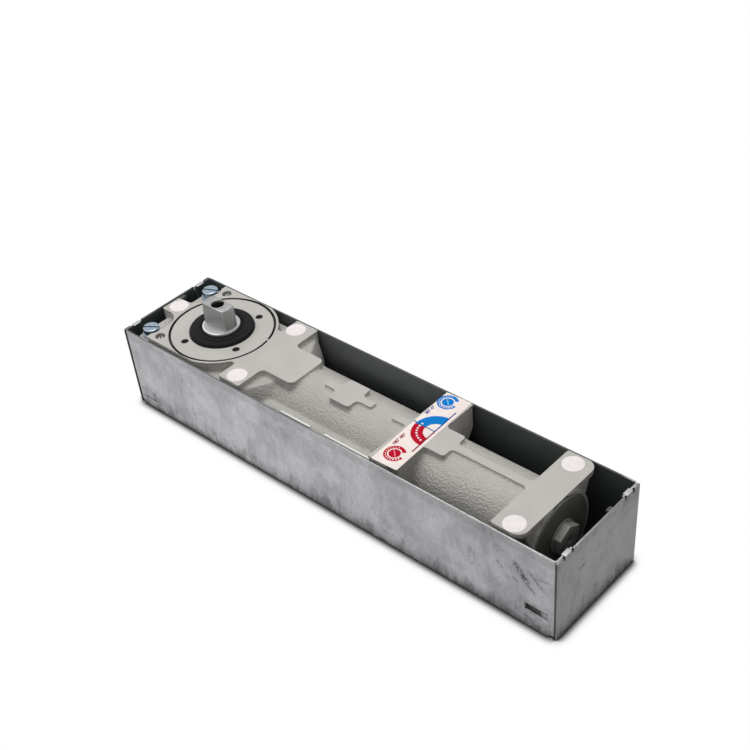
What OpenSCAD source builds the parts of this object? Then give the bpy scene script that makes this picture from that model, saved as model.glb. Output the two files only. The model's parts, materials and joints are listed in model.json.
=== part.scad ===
// Floor spring door closer: a hydraulic closer body in its sheet steel floor box.
// The origin lies on the spindle axis at the underside of the box.
// +X runs towards the spring end and +Z points up to the door.

/* [Floor box] */
// Length of the box over its end plates
box_l = 340; // [336:1:360]
// Gap between the closer body and each long side of the box
side_gap = 1.4; // [0.6:0.1:2]
// Depth of the rim of the box under the machined lands
rim_drop = 1.5; // [1:0.1:3]
// Thickness of the box sheet
sheet = 1; // [0.8:0.1:1.8]
// Bend radius of the upright corners, outside
box_r = 2; // [2:0.5:5]
// Width of the end flanges folded in from the long sides
flange_w = 14; // [10:1:20]
// Distance from the outside of the near end plate to the spindle axis
spindle_setback = 54.5; // [53:0.5:57]
// Width of each folded tab on the end plates
tab_w = 5.5; // [4:0.5:8]
// Distance of each folded tab from the middle of the end plate
tab_y = 27.5; // [26:0.5:28]
// Length that a tab reaches inwards over the flange
tab_l = 1.8; // [1.8:0.2:6]
// Width of the notch on each side of a tab
tab_notch_w = 1.8; // [1:0.1:2.5]
// Depth of the notch on each side of a tab
tab_notch_h = 3; // [2:0.5:5]
// Length of the lanced anchor tabs in the long sides
anchor_l = 14.5; // [10:0.5:18]
// Height of the anchor tabs at the near end
near_anchor_h = 7.5; // [4:0.5:9]
// Height of the middle of the near anchor tabs over the underside of the box
near_anchor_z = 10; // [9:0.5:20]
// Height of the anchor tabs at the far end
far_anchor_h = 5; // [4:0.5:9]
// Height of the middle of the far anchor tabs over the underside of the box
far_anchor_z = 14.5; // [9:0.5:20]
// Width of the slits that part an anchor tab from the wall
anchor_slit = 0.6; // [0.4:0.1:1.2]

/* [Closer body] */
// Height of the machined lands over the top of the barrel
land_rise = 2; // [2:0.1:3]
// Height of the underside of the housing over the underside of the box
body_base = 5; // [3:0.5:5]
// Narrowest metal between the bearing cap and the side of the body
cap_edge = 1.75; // [1.6:0.05:3]
// Distance from the face at the spring end to the outside of the far end plate
end_space = 24; // [22:0.5:30]
// Height of the barrel axis over the underside of the box
axis_z = 34.5; // [34.5:0.1:35]
// Wall of the barrel
barrel_wall = 5.5; // [5:0.1:6.5]
// Radius of the cylinder bore
bore_r = 18; // [17.5:0.1:18.2]
// Wall of the round housing round the cam chamber
housing_wall = 6.2; // [5.7:0.1:7.2]
// Gap between the highest point of the cam and the wall of its chamber
cam_gap = 0.8; // [0.5:0.1:1.2]
// Thickness of the pads and the flange at the top
flange_t = 8; // [7:0.5:8]
// Outer radius of the boss that holds the end cap
end_boss_r = 26; // [26:0.1:27]
// Length of the boss that holds the end cap
end_boss_l = 16; // [14:0.5:16]
// Half width of the centre rib on the barrel
rib_hw = 2.5; // [2:0.25:4]
// Half width of the wide lands on the barrel
land_hw = 10; // [8:0.5:12]

/* [Pads and screws] */
// Position along X of the cover pads beside the bearing cap
cover_pad_x = 33.5; // [33:0.5:34]
// Length of the cover pads along X
cover_pad_l = 18; // [16:0.5:19]
// Reach of the tongue over the barrel, from the spindle axis
tongue_x = 76.5; // [70:0.5:80]
// Half width of the tongue
tongue_hw = 14.3; // [12:0.5:16]
// Width along X of the cross pad at the spring end
cross_pad_l = 19.9; // [19:0.1:24]
// Thickness of the cross pad at the spring end
cross_pad_t = 4; // [3:0.5:6]
// Gap between the near end pad and the near end plate
near_gap = 3.5; // [2:0.5:5]
// Distance of the fixing screws from the end of the near end pad
fixing_back = 10; // [9:0.5:11]
// Distance of the fixing screws from the side of the body
fixing_in = 8.9; // [8.2:0.1:9.5]
// Distance along X from the levelling screws to the fixing screws
levelling_back = 13; // [12.5:0.1:13.5]
// Distance of the levelling screws from the side of the body
levelling_in = 5.6; // [5.1:0.1:6]
// Depth of the lugs under the machined lands
lug_drop = 5.4; // [5:0.1:6]
// Thickness of the lugs under the fixing screws
lug_t = 5.6; // [4:0.2:7]
// Length of the fixing screws under their heads
screw_l = 20; // [14:1:23]
// Thread radius of the fixing and levelling screws
screw_r = 3; // [2.5:0.25:3]
// Head radius of the fixing screws
head_r = 5.3; // [4.5:0.1:5.5]
// Head height of the fixing screws
head_h = 4.4; // [3:0.1:4.5]
// Radius of the washers
washer_r = 6.2; // [5.8:0.1:6.4]
// Thickness of the washers
washer_t = 1.2; // [0.8:0.1:1.6]
// Radius of the pillars that the fixing screws bite into
pillar_r = 6; // [5:0.5:6.5]
// Tapped hole radius in the cover pads
cover_hole_r = 2.1; // [1.6:0.1:2.5]
// Radius of the round stickers over the tapped holes
sticker_r = 6.3; // [5:0.1:6.5]
// Thickness of the stickers and the label
sticker_t = 0.3; // [0.2:0.05:0.5]

/* [Spindle] */
// Height of the spindle nose over its ledge
nose_l = 15; // [10:0.5:25]
// Height of the ledge under the flats over the machined lands
ledge_rise = 4; // [4:0.5:7]
// Distance between the two flats
nose_af = 10; // [9:0.5:12]
// Radius of the nose at the ledge
nose_r = 10.9; // [10.3:0.1:11.4]
// Radius of the nose at the top
nose_tip_r = 10.2; // [9.5:0.1:10.3]
// Radius of the round collar under the flats
collar_r = 12; // [11.5:0.1:12.2]
// Radius of the tapped hole in the top of the spindle
spindle_hole_r = 4.25; // [3.3:0.05:4.3]
// Depth of the tapped hole in the top of the spindle
spindle_hole_l = 22; // [15:1:30]
// Travel of the roller over half a turn of the spindle
cam_rise = 16; // [12:0.5:16.4]
// Distance from the spindle axis to the roller axis with the door shut
roller_x = 22; // [21.8:0.1:22.1]
// Radius of the roller
roller_r = 9; // [8.8:0.1:9.1]
// Thickness of the cam
cam_t = 11.6; // [10:0.2:12]
// Radius of the roller pin
pin_r = 4; // [3:0.25:4.5]

/* [Cap, bearings and seal] */
// Width of the seat under the rim of the bearing cap
cap_seat_w = 3.05; // [2.7:0.05:3.2]
// Thickness of the threaded rim of the bearing cap
cap_t = 8; // [7:0.5:8]
// Width of the groove round the bearing cap
cap_groove_w = 1.2; // [0.4:0.1:1.2]
// Depth of the groove round the bearing cap
cap_groove_h = 2.5; // [1:0.5:4]
// Metal between the key holes and the seal
key_land = 1.8; // [0.4:0.1:3]
// Radius of the key holes in the bearing cap
key_hole_r = 2.4; // [1.5:0.1:2.6]
// Depth of the key holes
key_hole_l = 2.8; // [2:0.1:2.8]
// Direction of the first key hole
key_hole_turn = 67; // [0:1:90]
// Radius of the journal in the upper bearing
upper_journal_r = 12.5; // [12.4:0.1:12.6]
// Outer radius of the upper bearing
upper_bearing_r = 23.5; // [23:0.5:24]
// Radius of the journal in the lower bearing
lower_journal_r = 10; // [9.5:0.1:10.2]
// Outer radius of the lower bearing
lower_bearing_r = 21; // [20.5:0.1:21.5]
// Width of both bearings
bearing_w = 12; // [11.5:0.1:12]
// Radius of the balls in the bearings
ball_r = 3.4; // [3:0.1:3.6]
// Balls in each bearing
balls = 9; // [7:1:9]
// Outer radius of the rubber seal round the spindle
seal_r = 21; // [20:0.5:22]
// Height of the rubber seal over the cap
seal_rise = 3; // [1:0.1:3]

/* [Piston, spring and adjuster] */
// Distance from the roller axis to the spring face of the piston
piston_l = 40; // [38:1:44]
// Radius of the spring wire
wire_r = 2.8; // [2:0.1:3]
// Gap between the spring and the bore
coil_gap = 1.2; // [0.7:0.1:2]
// Turns of the spring
coils = 11; // [8:1:12]
// Distance from the face that the spring bears on to the face at the spring end
seat_back = 53.5; // [50:0.5:60]
// Thickness of the spring seat
seat_t = 8; // [6:0.5:10]
// Radius of the adjusting screw thread
adjuster_r = 6; // [5:0.25:7]
// Advance of the spring seat for one turn of the adjusting screw
adjuster_pitch = 2; // [1:0.25:3]
// Width across the flats of the adjusting screw head
hex_af = 17; // [13:1:19]
// Height of the hexagon of the adjusting screw
hex_h = 4.5; // [3:0.5:6]
// Radius of the end cap flange
end_cap_r = 23.8; // [23.5:0.1:24]
// Thickness of the end cap
end_cap_t = 10; // [8:0.5:12]

/* [Valves and label] */
// Distance along X from the spindle axis to the valve screws
valve_x = 166; // [160:1:172]
// Distance of the valve screws from the side of the body
valve_in = 8.6; // [8.1:0.1:9.1]
// Thread radius of the valve screws
valve_r = 4; // [3:0.25:4.5]
// Height of the valve seats over the barrel axis
valve_seat_rise = 7.5; // [5.5:0.5:11]
// Width along X of the valve block
valve_block_l = 19; // [18:0.5:22]
// Width of the valve block that the label leaves bare
label_bare = 1; // [0:0.5:3]
// Overhang of the label over each side of the body
label_over = 0.1; // [-1:0.1:0.3]
// Turn of the label on its pad
label_turn = -0.9; // [-1:0.1:1]

/* [Hidden] */
$fn = 96;

// Clearances: a pressed or screwed joint, a running fit and a gap between parts that only pass
press = 0.02;
running = 0.05;
gap = 0.5;
eps = 0.01;

// Radii from the cam outwards, then the body over them and the box over the body
chamber_r = roller_x - roller_r + cam_rise + cam_gap;
housing_r = chamber_r + housing_wall;
cap_r = chamber_r + cap_seat_w;
body_hw = cap_r + cap_edge;
body_w = 2 * body_hw;
wall_in = body_hw + side_gap;
box_w = 2 * (wall_in + sheet);

// Box
barrel_r = bore_r + barrel_wall;
body_top = axis_z + barrel_r + land_rise;
box_h = body_top - rim_drop;
near_x = -spindle_setback;
far_x = near_x + box_l;
trough_x0 = near_x + sheet;
trough_x1 = far_x - sheet;
// Each pair of anchor tabs: hinge position, direction of the tab, height, middle
anchors = [
    [trough_x0 + 2.5, 1, near_anchor_h, near_anchor_z],
    [trough_x1 - 4.5, -1, far_anchor_h, far_anchor_z]
];
relief_r = 2;
hook = [2.5, 4, 4.5];
hook_y = 12;

// Body
body_reach = far_x - end_space;
core_hw = body_hw - 1.1;
flange_z = body_top - flange_t;
cover_pad_end = cover_pad_x + cover_pad_l;
near_pad_x = -trough_x0 - near_gap;
fixing_at = [fixing_back - near_pad_x, body_hw - fixing_in];
levelling_at = [fixing_at[0] + levelling_back, body_hw - levelling_in];
lug_top = body_top - lug_drop;
lug_edge = levelling_at[0] - 7;
near_pad_hw = 7.2;
pad_bridge_hw = 20;
scallop_r = 11;
scallop_at = [lug_edge - 12.3, near_pad_hw + scallop_r];
block_base = body_base + 4;
neck_x = tongue_x - 13;
neck_r = 46;
cross_pad_end = body_reach - 0.3;
cross_pad_x = cross_pad_end - cross_pad_l;
cross_pad_notch_r = 6.5;
// Machined lands on the barrel: spans along X of the near rib, the wide land on it, the rib before
// the valve block and the land behind it, then of the two strips on the galleries
valve_at = [valve_x, body_hw - valve_in];
valve_seat_z = axis_z + valve_seat_rise;
valve_block_x = valve_at[0] - valve_block_l / 2;
valve_block_end = valve_block_x + valve_block_l;
near_rib = [92.5, 129.5];
near_land = [102.5, 118.5];
block_rib = [valve_block_x - 11, valve_block_x + 1];
far_land = [valve_block_end - 3, valve_block_end + 14.5];
strips = [[76, 100.5], [112, valve_block_x - 9]];
strip_w = 1.4;
land_base = axis_z + 10;
gallery_y = valve_at[1] - 3;
front_gallery_z = axis_z + 6.5;
back_gallery_z = axis_z + 3.5;
gallery_r = 5;
gallery_start = neck_x - 4;
gallery_bore_r = 1.75;
gallery_x = chamber_r / 3;
valve_depth = 2.4;
label_w = valve_block_l - label_bare;
label_l = body_w + 2 * label_over;
valve_port_z = valve_seat_z - 4;
land_fillet = 2.6;
boss_cone_l = 4;
foot = [14, 24];
// Tapped holes for the cover plate, and how far each sticker is laid off its hole
cover_holes = [
    [-near_pad_x + 6.4, 0],
    [cover_pad_x + 7.2, body_hw - 7.4], [cover_pad_x + 7.2, 7.4 - body_hw],
    [cross_pad_x + 9.2, body_hw - 6.6], [cross_pad_x + 9.2, 6.6 - body_hw]
];
sticker_off = [[1, 0.8], [-1, -0.4], [2.4, -0.4], [-0.6, -1], [1.8, -0.3]];

// Stack of the spindle, from the housing floor upwards
upper_bearing = [upper_journal_r, upper_bearing_r, bearing_w];
lower_bearing = [lower_journal_r, lower_bearing_r, bearing_w];
lower_bearing_z = body_base + 7;
lower_bearing_top = lower_bearing_z + lower_bearing[2];
cam_z = axis_z - cam_t / 2;
cap_z = body_top - cap_t;
hub_gap = 1.8;
hub_r = chamber_r - hub_gap;
seal_z = body_top - 3;
upper_bearing_z = seal_z - upper_bearing[2];
shoulder_r = collar_r + 1.5;
key_circle_r = seal_r + key_land + key_hole_r;
ledge_z = body_top + ledge_rise;
spindle_top = ledge_z + nose_l;
cap_bore_r = cap_r + running;

// Piston
slot_h = cam_t + 0.8;
arm_z = [lower_bearing_top + gap, upper_bearing_z - gap];
arm_hw = 13;
head_x = max(roller_x + roller_r + 3, cap_r + 1.2);
slot_x = roller_x + roller_r + 2;
piston_x1 = roller_x + piston_l;
ring_x = piston_x1 - 12;
ring_size = [1.7, 4];
check_inlet_r = 1.6;
check_bore_r = 3;
check_ball_r = 2.6;
check_x = slot_x + 11;
check_travel = 1;
check_ball_x = check_x + sqrt(pow(check_ball_r, 2) - pow(check_inlet_r, 2)) + running;
sleeve_x = check_ball_x + check_ball_r + check_travel + gap;

// Spring end
seat_x = body_reach - seat_back;
coil_r = bore_r - coil_gap - wire_r;
end_cap_x = body_reach + 0.6 - end_cap_t;
cap_thread_r = end_cap_r - 0.6;
end_flange_t = 2.6;
stem_r = adjuster_r + 1;
collar_t = 4;
hex_face = body_reach + 0.8;
hex_seat_t = 0.7;
screw_tip_x = seat_x - 12;
spigot_l = 6;
oring_t = 2.4;

// Places an X axis part on the barrel axis: the children are drawn along +Z
module along_barrel(x) {
    translate([x, 0, axis_z]) rotate([0, 90, 0]) children();
}

module mirrored_y() {
    children();
    mirror([0, 1, 0]) children();
}

// Rectangle from corner p with size s and all corners rounded by r
module round_rect(p, s, r) {
    translate([p[0] + r, p[1]]) square([s[0] - 2 * r, s[1]]);
    translate([p[0], p[1] + r]) square([s[0], s[1] - 2 * r]);
    for (x = [p[0] + r, p[0] + s[0] - r], y = [p[1] + r, p[1] + s[1] - r])
        translate([x, y]) circle(r = r, $fn = 48);
}

// Filler for an inside corner at p that opens towards direction d
module inside_fillet(p, d, r) {
    translate(p) difference() {
        translate([d[0] < 0 ? -r : -eps, d[1] < 0 ? -r : -eps]) square(r + eps);
        translate([d[0] * r, d[1] * r]) circle(r = r, $fn = 48);
    }
}

module ring(r_out, r_in, h) {
    difference() {
        cylinder(r = r_out, h = h);
        translate([0, 0, -1]) cylinder(r = r_in, h = h + 2);
    }
}

module oring(r, w) {
    rotate_extrude() translate([r, 0]) circle(r = w / 2, $fn = 32);
}

// ---- Floor box ----

// The tab is parted from the wall on three sides, to be bent in where the box is bedded in mortar
module anchor_slits(a) {
    free = anchor_l - anchor_slit;
    mirrored_y() translate([a[0], wall_in - 1, a[3] - a[2] / 2]) difference() {
        translate([a[1] > 0 ? 0 : -anchor_l, 0, 0]) cube([anchor_l, sheet + 2, a[2]]);
        translate([a[1] > 0 ? -1 : -free, -1, anchor_slit])
            cube([free + 1, sheet + 4, a[2] - 2 * anchor_slit]);
    }
}

module trough_outline(inset) {
    r = box_r - inset > 0.5 ? box_r - inset : 0.5;
    hw = box_w / 2 - inset;
    round_rect([trough_x0 + inset, -hw], [trough_x1 - trough_x0 - 2 * inset, 2 * hw], r);
}

module box_trough() {
    color([0.59, 0.59, 0.61]) {
        difference() {
            linear_extrude(box_h) trough_outline(0);
            translate([0, 0, sheet]) linear_extrude(box_h) trough_outline(sheet);
            for (x = [trough_x0 - 1, trough_x1 - sheet - 1])
                translate([x, flange_w - box_w / 2, sheet])
                    cube([sheet + 2, box_w - 2 * flange_w, box_h]);
            for (x = [trough_x0 - 1, trough_x1 - sheet - 1], s = [-1, 1])
                translate([x, s * tab_y - tab_w / 2 - 0.2, box_h - sheet * 0.8])
                    cube([sheet + 2, tab_w + 0.4, sheet]);
            for (a = anchors) anchor_slits(a);
            for (x = [trough_x0 + relief_r, trough_x1 - relief_r], s = [-1, 1])
                translate([x, s * (box_w / 2 - sheet / 2), 0])
                    rotate([90, 0, 0]) cylinder(r = relief_r, h = 3 * sheet, center = true);
        }
    }
}

// End plate drawn at the near end, with its inner face at x = 0 and the box towards +X
module end_plate() {
    difference() {
        translate([-sheet, 0, 0]) rotate([90, 0, 90])
            linear_extrude(sheet) round_rect([-box_w / 2, 0], [box_w, box_h], 0.8);
        for (s = [-1, 1], e = [-1, 1])
            translate([-sheet - 1, s * tab_y + e * (tab_w + tab_notch_w) / 2 - tab_notch_w / 2,
                       box_h - tab_notch_h])
                cube([sheet + 2, tab_notch_w, tab_notch_h + 1]);
    }
    for (s = [-1, 1])
        translate([-eps, s * tab_y - tab_w / 2, box_h - sheet * 0.8])
            cube([tab_l + eps, tab_w, sheet * 0.8]);
    translate([-eps, hook_y - hook[1] / 2, box_h - 1 - hook[2]]) cube([hook[0], hook[1], hook[2]]);
}

module near_end_plate() {
    color([0.59, 0.59, 0.61]) translate([trough_x0, 0, 0]) end_plate();
}

module far_end_plate() {
    color([0.59, 0.59, 0.61]) translate([trough_x1, 0, 0]) mirror([1, 0, 0]) end_plate();
}

// Two tapped pillars, riveted to the floor, that the fixing screws bite into
module box_pillars() {
    h = lug_top - lug_t - sheet;
    color([0.5, 0.5, 0.52])
        mirrored_y()
            translate([fixing_at[0], fixing_at[1], sheet]) difference() {
                cylinder(r = pillar_r, h = h, $fn = 48);
                translate([0, 0, h - screw_l + 2]) cylinder(r = screw_r + running, h = screw_l, $fn = 48);
            }
}

// ---- Closer body ----

module flange_plan() {
    difference() {
        union() {
            intersection() {
                circle(r = housing_r);
                square([2 * housing_r, body_w], center = true);
            }
            translate([lug_edge, -body_hw]) square([-lug_edge, body_w]);
            round_rect([-near_pad_x, -near_pad_hw], [near_pad_x + lug_edge + 4, 2 * near_pad_hw], 1);
            translate([scallop_at[0], -scallop_at[1]])
                square([lug_edge - scallop_at[0] + 1, 2 * scallop_at[1]]);
        }
        mirrored_y() {
            translate(scallop_at) circle(r = scallop_r);
            translate(fixing_at) circle(r = washer_r + 1.6);
            translate([scallop_at[0] - scallop_r, scallop_at[1]]) square([scallop_r * 2, scallop_r]);
            translate([0, housing_r]) square([housing_r, 2 * (housing_r - body_hw)], center = true);
        }
    }
}

module cover_pad_plan() {
    translate([cover_pad_x - 10, -pad_bridge_hw]) square([cover_pad_l + 8, 2 * pad_bridge_hw]);
    mirrored_y() {
        round_rect([cover_pad_x, 6], [cover_pad_l, body_hw - 6], 0.8);
        inside_fillet([cover_pad_end, tongue_hw], [1, 1], 3);
    }
    round_rect([cover_pad_x, -tongue_hw], [tongue_x - cover_pad_x, 2 * tongue_hw], 4);
}

// Rectangle over a span along X, centred on the barrel
module span_rect(span, hw, r) {
    round_rect([span[0], -hw], [span[1] - span[0], 2 * hw], r);
}

module barrel_lands_plan() {
    span_rect(near_rib, rib_hw, 1);
    span_rect(near_land, land_hw, 2);
    span_rect(block_rib, rib_hw, 1);
    span_rect(far_land, land_hw, 2);
    span_rect([far_land[1] - 2, cross_pad_x + 2], rib_hw, 0.5);
    mirrored_y() {
        inside_fillet([near_land[0], rib_hw], [-1, 1], land_fillet);
        inside_fillet([near_land[1], rib_hw], [1, 1], land_fillet);
        inside_fillet([valve_block_end, land_hw], [1, 1], land_fillet);
        inside_fillet([far_land[1], rib_hw], [1, 1], land_fillet);
        inside_fillet([cross_pad_x, rib_hw], [-1, 1], land_fillet);
    }
}

module cross_pad_plan() {
    difference() {
        round_rect([cross_pad_x, -body_hw], [cross_pad_l, body_w], 1.5);
        mirrored_y()
            translate([cross_pad_end - cross_pad_notch_r, body_hw - cross_pad_notch_r]) difference() {
                square(cross_pad_notch_r + 1);
                circle(r = cross_pad_notch_r, $fn = 48);
            }
    }
}

// Round housing, its shoulders and the neck that tapers down to the barrel
module housing_casting() {
    intersection() {
        translate([0, 0, body_base]) cylinder(r = housing_r, h = flange_z + 1 - body_base);
        translate([-housing_r, -core_hw, 0]) cube([2 * housing_r, 2 * core_hw, body_top]);
    }
    translate([0, -core_hw, block_base])
        cube([cover_pad_end - 0.6, 2 * core_hw, flange_z + 0.5 - block_base]);
    neck_l = neck_x + 6 - cover_pad_end;
    intersection() {
        along_barrel(neck_x - neck_l) cylinder(r1 = neck_r, r2 = barrel_r - 0.5, h = neck_l);
        translate([neck_x - neck_l + 1, -core_hw, block_base])
            cube([neck_x, 2 * core_hw, body_top - 4.5 - block_base]);
    }
}

// Barrel with the boss at its end, the gusset under the cross pad and the foot
module barrel_casting() {
    boss_x = body_reach - end_boss_l;
    along_barrel(chamber_r) cylinder(r = barrel_r, h = body_reach - chamber_r - 1);
    intersection() {
        union() {
            along_barrel(boss_x) cylinder(r = end_boss_r, h = end_boss_l);
            along_barrel(boss_x - boss_cone_l)
                cylinder(r1 = barrel_r - 0.4, r2 = end_boss_r, h = boss_cone_l + eps);
        }
        translate([boss_x - boss_cone_l - 1, -body_hw, 0])
            cube([2 * end_boss_l, body_w, body_top - cross_pad_t / 2]);
    }
    translate([cross_pad_x + 1.6, 0, 0]) rotate([90, 0, 90])
        linear_extrude(cross_pad_l - 3) polygon([
            [-body_hw + 5, body_top - cross_pad_t + 0.5], [body_hw - 5, body_top - cross_pad_t + 0.5],
            [end_boss_r - 2, axis_z + 6], [-end_boss_r + 2, axis_z + 6]
        ]);
    translate([body_reach - foot[0] - 3, -foot[1] / 2, sheet])
        cube([foot[0], foot[1], axis_z - bore_r - 4 - sheet]);
}

// Metal round the oil gallery on side s, which stands out from the flank of the barrel
module gallery_casting(s, z) {
    x0 = gallery_start;
    translate([x0, s * gallery_y, z]) rotate([0, 90, 0])
        cylinder(r = gallery_r, h = valve_at[0] - x0, $fn = 48);
    translate([x0, s > 0 ? 12 : -gallery_y, z - gallery_r])
        cube([valve_at[0] - x0, gallery_y - 12, 2 * gallery_r]);
}

// Two narrow machined strips along the top of the front gallery
module gallery_strips() {
    for (span = strips)
        translate([span[0], -gallery_y - 2.2 - strip_w / 2, front_gallery_z])
            cube([span[1] - span[0], strip_w, gallery_r + 0.4]);
}

module gallery_bore(s, z) {
    translate([gallery_x, s * gallery_y, z]) rotate([0, 90, 0])
        cylinder(r = gallery_bore_r, h = valve_at[0] - gallery_x, $fn = 48);
}

module valve_block() {
    translate([valve_block_x, 0, 0]) rotate([90, 0, 90])
        linear_extrude(valve_block_l) polygon([
            [-body_hw, body_top], [body_hw, body_top], [body_hw, axis_z + 9], [body_hw - 9, axis_z - 5],
            [-body_hw + 9, axis_z - 5], [-body_hw, axis_z + 9]
        ]);
}

module fixing_lugs() {
    lug_x = fixing_at[0] - pillar_r;
    translate([0, 0, lug_top - lug_t]) linear_extrude(lug_t) {
        mirrored_y() round_rect([lug_x, 3], [lug_edge + 3 - lug_x, body_hw - 4], 3);
        round_rect([-near_pad_x, -near_pad_hw], [near_pad_x + lug_edge + 4, 2 * near_pad_hw], 1);
    }
}

module closer_body() {
    color([0.73, 0.72, 0.69]) difference() {
        union() {
            translate([0, 0, flange_z]) linear_extrude(flange_t) {
                flange_plan();
                cover_pad_plan();
            }
            translate([0, 0, land_base]) linear_extrude(body_top - land_base) barrel_lands_plan();
            translate([0, 0, body_top - cross_pad_t]) linear_extrude(cross_pad_t) cross_pad_plan();
            housing_casting();
            barrel_casting();
            gallery_casting(-1, front_gallery_z);
            gallery_casting(1, back_gallery_z);
            gallery_strips();
            valve_block();
            fixing_lugs();
        }
        // Cam chamber, lower bearing seat and cap seat with its groove
        translate([0, 0, lower_bearing_z]) cylinder(r = lower_bearing[1] + press, h = body_top);
        translate([0, 0, lower_bearing_z - 1.5]) cylinder(r = lower_bearing[1] - 5, h = 5);
        translate([0, 0, lower_bearing_top]) cylinder(r = chamber_r, h = body_top);
        translate([0, 0, cap_z]) cylinder(r = cap_bore_r, h = body_top);
        translate([0, 0, body_top - cap_groove_h]) cylinder(r = cap_r + cap_groove_w, h = body_top);
        // Cylinder bore and end cap seat
        along_barrel(chamber_r - 8) cylinder(r = bore_r, h = body_reach);
        along_barrel(end_cap_x) cylinder(r = cap_thread_r + running, h = body_reach);
        along_barrel(end_cap_x + end_cap_t - end_flange_t) cylinder(r = end_cap_r + gap, h = body_reach);
        // Screw holes
        mirrored_y() {
            translate([fixing_at[0], fixing_at[1], lug_top - lug_t - 1])
                cylinder(r = screw_r + 0.3, h = lug_t + 2, $fn = 48);
            translate([levelling_at[0], levelling_at[1], 0])
                cylinder(r = screw_r + 0.25, h = body_top + 1, $fn = 48);
        }
        for (p = cover_holes)
            translate([p[0], p[1], body_top - 9]) cylinder(r = cover_hole_r, h = 10, $fn = 48);
        // Valve bores, their ports and the oil galleries
        mirrored_y() {
            translate([valve_at[0], valve_at[1], valve_seat_z]) cylinder(r = valve_r, h = body_top, $fn = 48);
            translate([valve_at[0], valve_at[1], valve_port_z]) {
                cylinder(r = gallery_bore_r, h = 5, $fn = 48);
                translate([0, 0, gallery_bore_r]) rotate([90, 0, 0])
                    cylinder(r = gallery_bore_r, h = valve_at[1] - bore_r + 3, $fn = 48);
            }
        }
        gallery_bore(-1, front_gallery_z);
        gallery_bore(1, back_gallery_z);
        // Cast notch in the front corner of the valve block
        translate([valve_block_end - 6, -body_hw - 1, body_top - 12]) cube([7, 3.2, 13]);
    }
}

module hole_stickers() {
    color([0.95, 0.92, 0.93])
        for (k = [0:len(cover_holes) - 1])
            translate(cover_holes[k] + sticker_off[k]) translate([0, 0, body_top])
                cylinder(r = sticker_r, h = sticker_t, $fn = 64);
}

module dial_label() {
    color([0.94, 0.91, 0.9])
        translate([valve_at[0], 0, body_top]) rotate([0, 0, label_turn])
            linear_extrude(sticker_t) round_rect([-label_w, -label_l] / 2, [label_w, label_l], 1);
}

module slotted_top(r, z, w, d) {
    translate([-r - 1, -w / 2, z - d]) cube([2 * r + 2, w, d + 1]);
}

module fixing_screws() {
    head_z = lug_top + washer_t;
    color([0.62, 0.68, 0.75])
        mirrored_y()
            translate([fixing_at[0], fixing_at[1], 0]) rotate([0, 0, 25]) difference() {
                union() {
                    translate([0, 0, head_z]) cylinder(r = head_r, h = head_h - 0.5, $fn = 64);
                    translate([0, 0, head_z + head_h - 0.5])
                        cylinder(r1 = head_r, r2 = head_r - 0.5, h = 0.5, $fn = 64);
                    translate([0, 0, head_z - screw_l]) cylinder(r = screw_r, h = screw_l + eps, $fn = 48);
                }
                slotted_top(head_r, head_z + head_h, 1.5, 1.8);
            }
}

module fixing_washers() {
    color([0.62, 0.66, 0.72])
        mirrored_y()
            translate([fixing_at[0], fixing_at[1], lug_top]) ring(washer_r, screw_r + 0.2, washer_t);
}

module levelling_screws() {
    top = body_top - 1.4;
    color([0.45, 0.47, 0.48])
        mirrored_y()
            translate([levelling_at[0], levelling_at[1], 0]) rotate([0, 0, 40]) difference() {
                translate([0, 0, sheet]) cylinder(r = screw_r + 0.2, h = top - sheet, $fn = 48);
                slotted_top(screw_r, top, 1.2, 2);
            }
}

// ---- Bearing cap, seal and bearings ----

module bearing_cap() {
    color([0.74, 0.73, 0.7]) difference() {
        union() {
            translate([0, 0, cap_z]) cylinder(r = cap_r, h = cap_t);
            translate([0, 0, upper_bearing_z]) cylinder(r = hub_r, h = cap_z - upper_bearing_z + eps);
        }
        translate([0, 0, upper_bearing_z - 1])
            cylinder(r = upper_bearing[1] + press, h = upper_bearing[2] + 1);
        translate([0, 0, seal_z - eps]) cylinder(r = seal_r + press, h = cap_t);
        for (k = [0:3])
            rotate([0, 0, key_hole_turn + 90 * k])
                translate([key_circle_r, 0, body_top - key_hole_l])
                    cylinder(r = key_hole_r, h = key_hole_l + 1, $fn = 48);
        translate([0, 0, cap_z + 3]) rotate_extrude()
            translate([cap_r - 1.9, 0]) square([3, oring_t]);
    }
}

module cap_oring() {
    color([0.1, 0.1, 0.1]) translate([0, 0, cap_z + 3 + oring_t / 2])
        oring(cap_r - 1.9 / 2, 1.8);
}

// Rubber faced shaft seal with a low dome and a lip at the spindle
module spindle_seal() {
    r_in = collar_r + running;
    top = body_top + seal_rise;
    color([0.12, 0.12, 0.12]) rotate_extrude() polygon([
        [r_in, seal_z + gap / 5], [seal_r, seal_z + gap / 5], [seal_r, body_top + 0.5],
        for (a = [0:15:90]) [seal_r - 2 + 2 * cos(a), body_top + 0.5 + (seal_rise - 0.9) * sin(a)],
        [seal_r - 6, top - 0.1], [collar_r + 5, top], [collar_r + 2.2, top - 0.3],
        [collar_r + 1.8, top - 0.9], [collar_r + 1, top - 0.9], [collar_r + 0.8, top - 0.2], [r_in, top]
    ]);
}

function pitch_of(b) = (b[0] + b[1]) / 2;

module race_groove(b) {
    translate([0, 0, b[2] / 2]) rotate_extrude()
        translate([pitch_of(b), 0]) circle(r = ball_r + running, $fn = 48);
}

module bearing_outer(b) {
    difference() {
        ring(b[1], pitch_of(b) + 2, b[2]);
        race_groove(b);
    }
}

module bearing_inner(b) {
    difference() {
        ring(pitch_of(b) - 2, b[0] + press, b[2]);
        race_groove(b);
    }
}

module bearing_balls(b) {
    for (k = [0:balls - 1]) rotate([0, 0, 360 / balls * k])
        translate([pitch_of(b), 0, b[2] / 2]) sphere(r = ball_r, $fn = 32);
}

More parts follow.
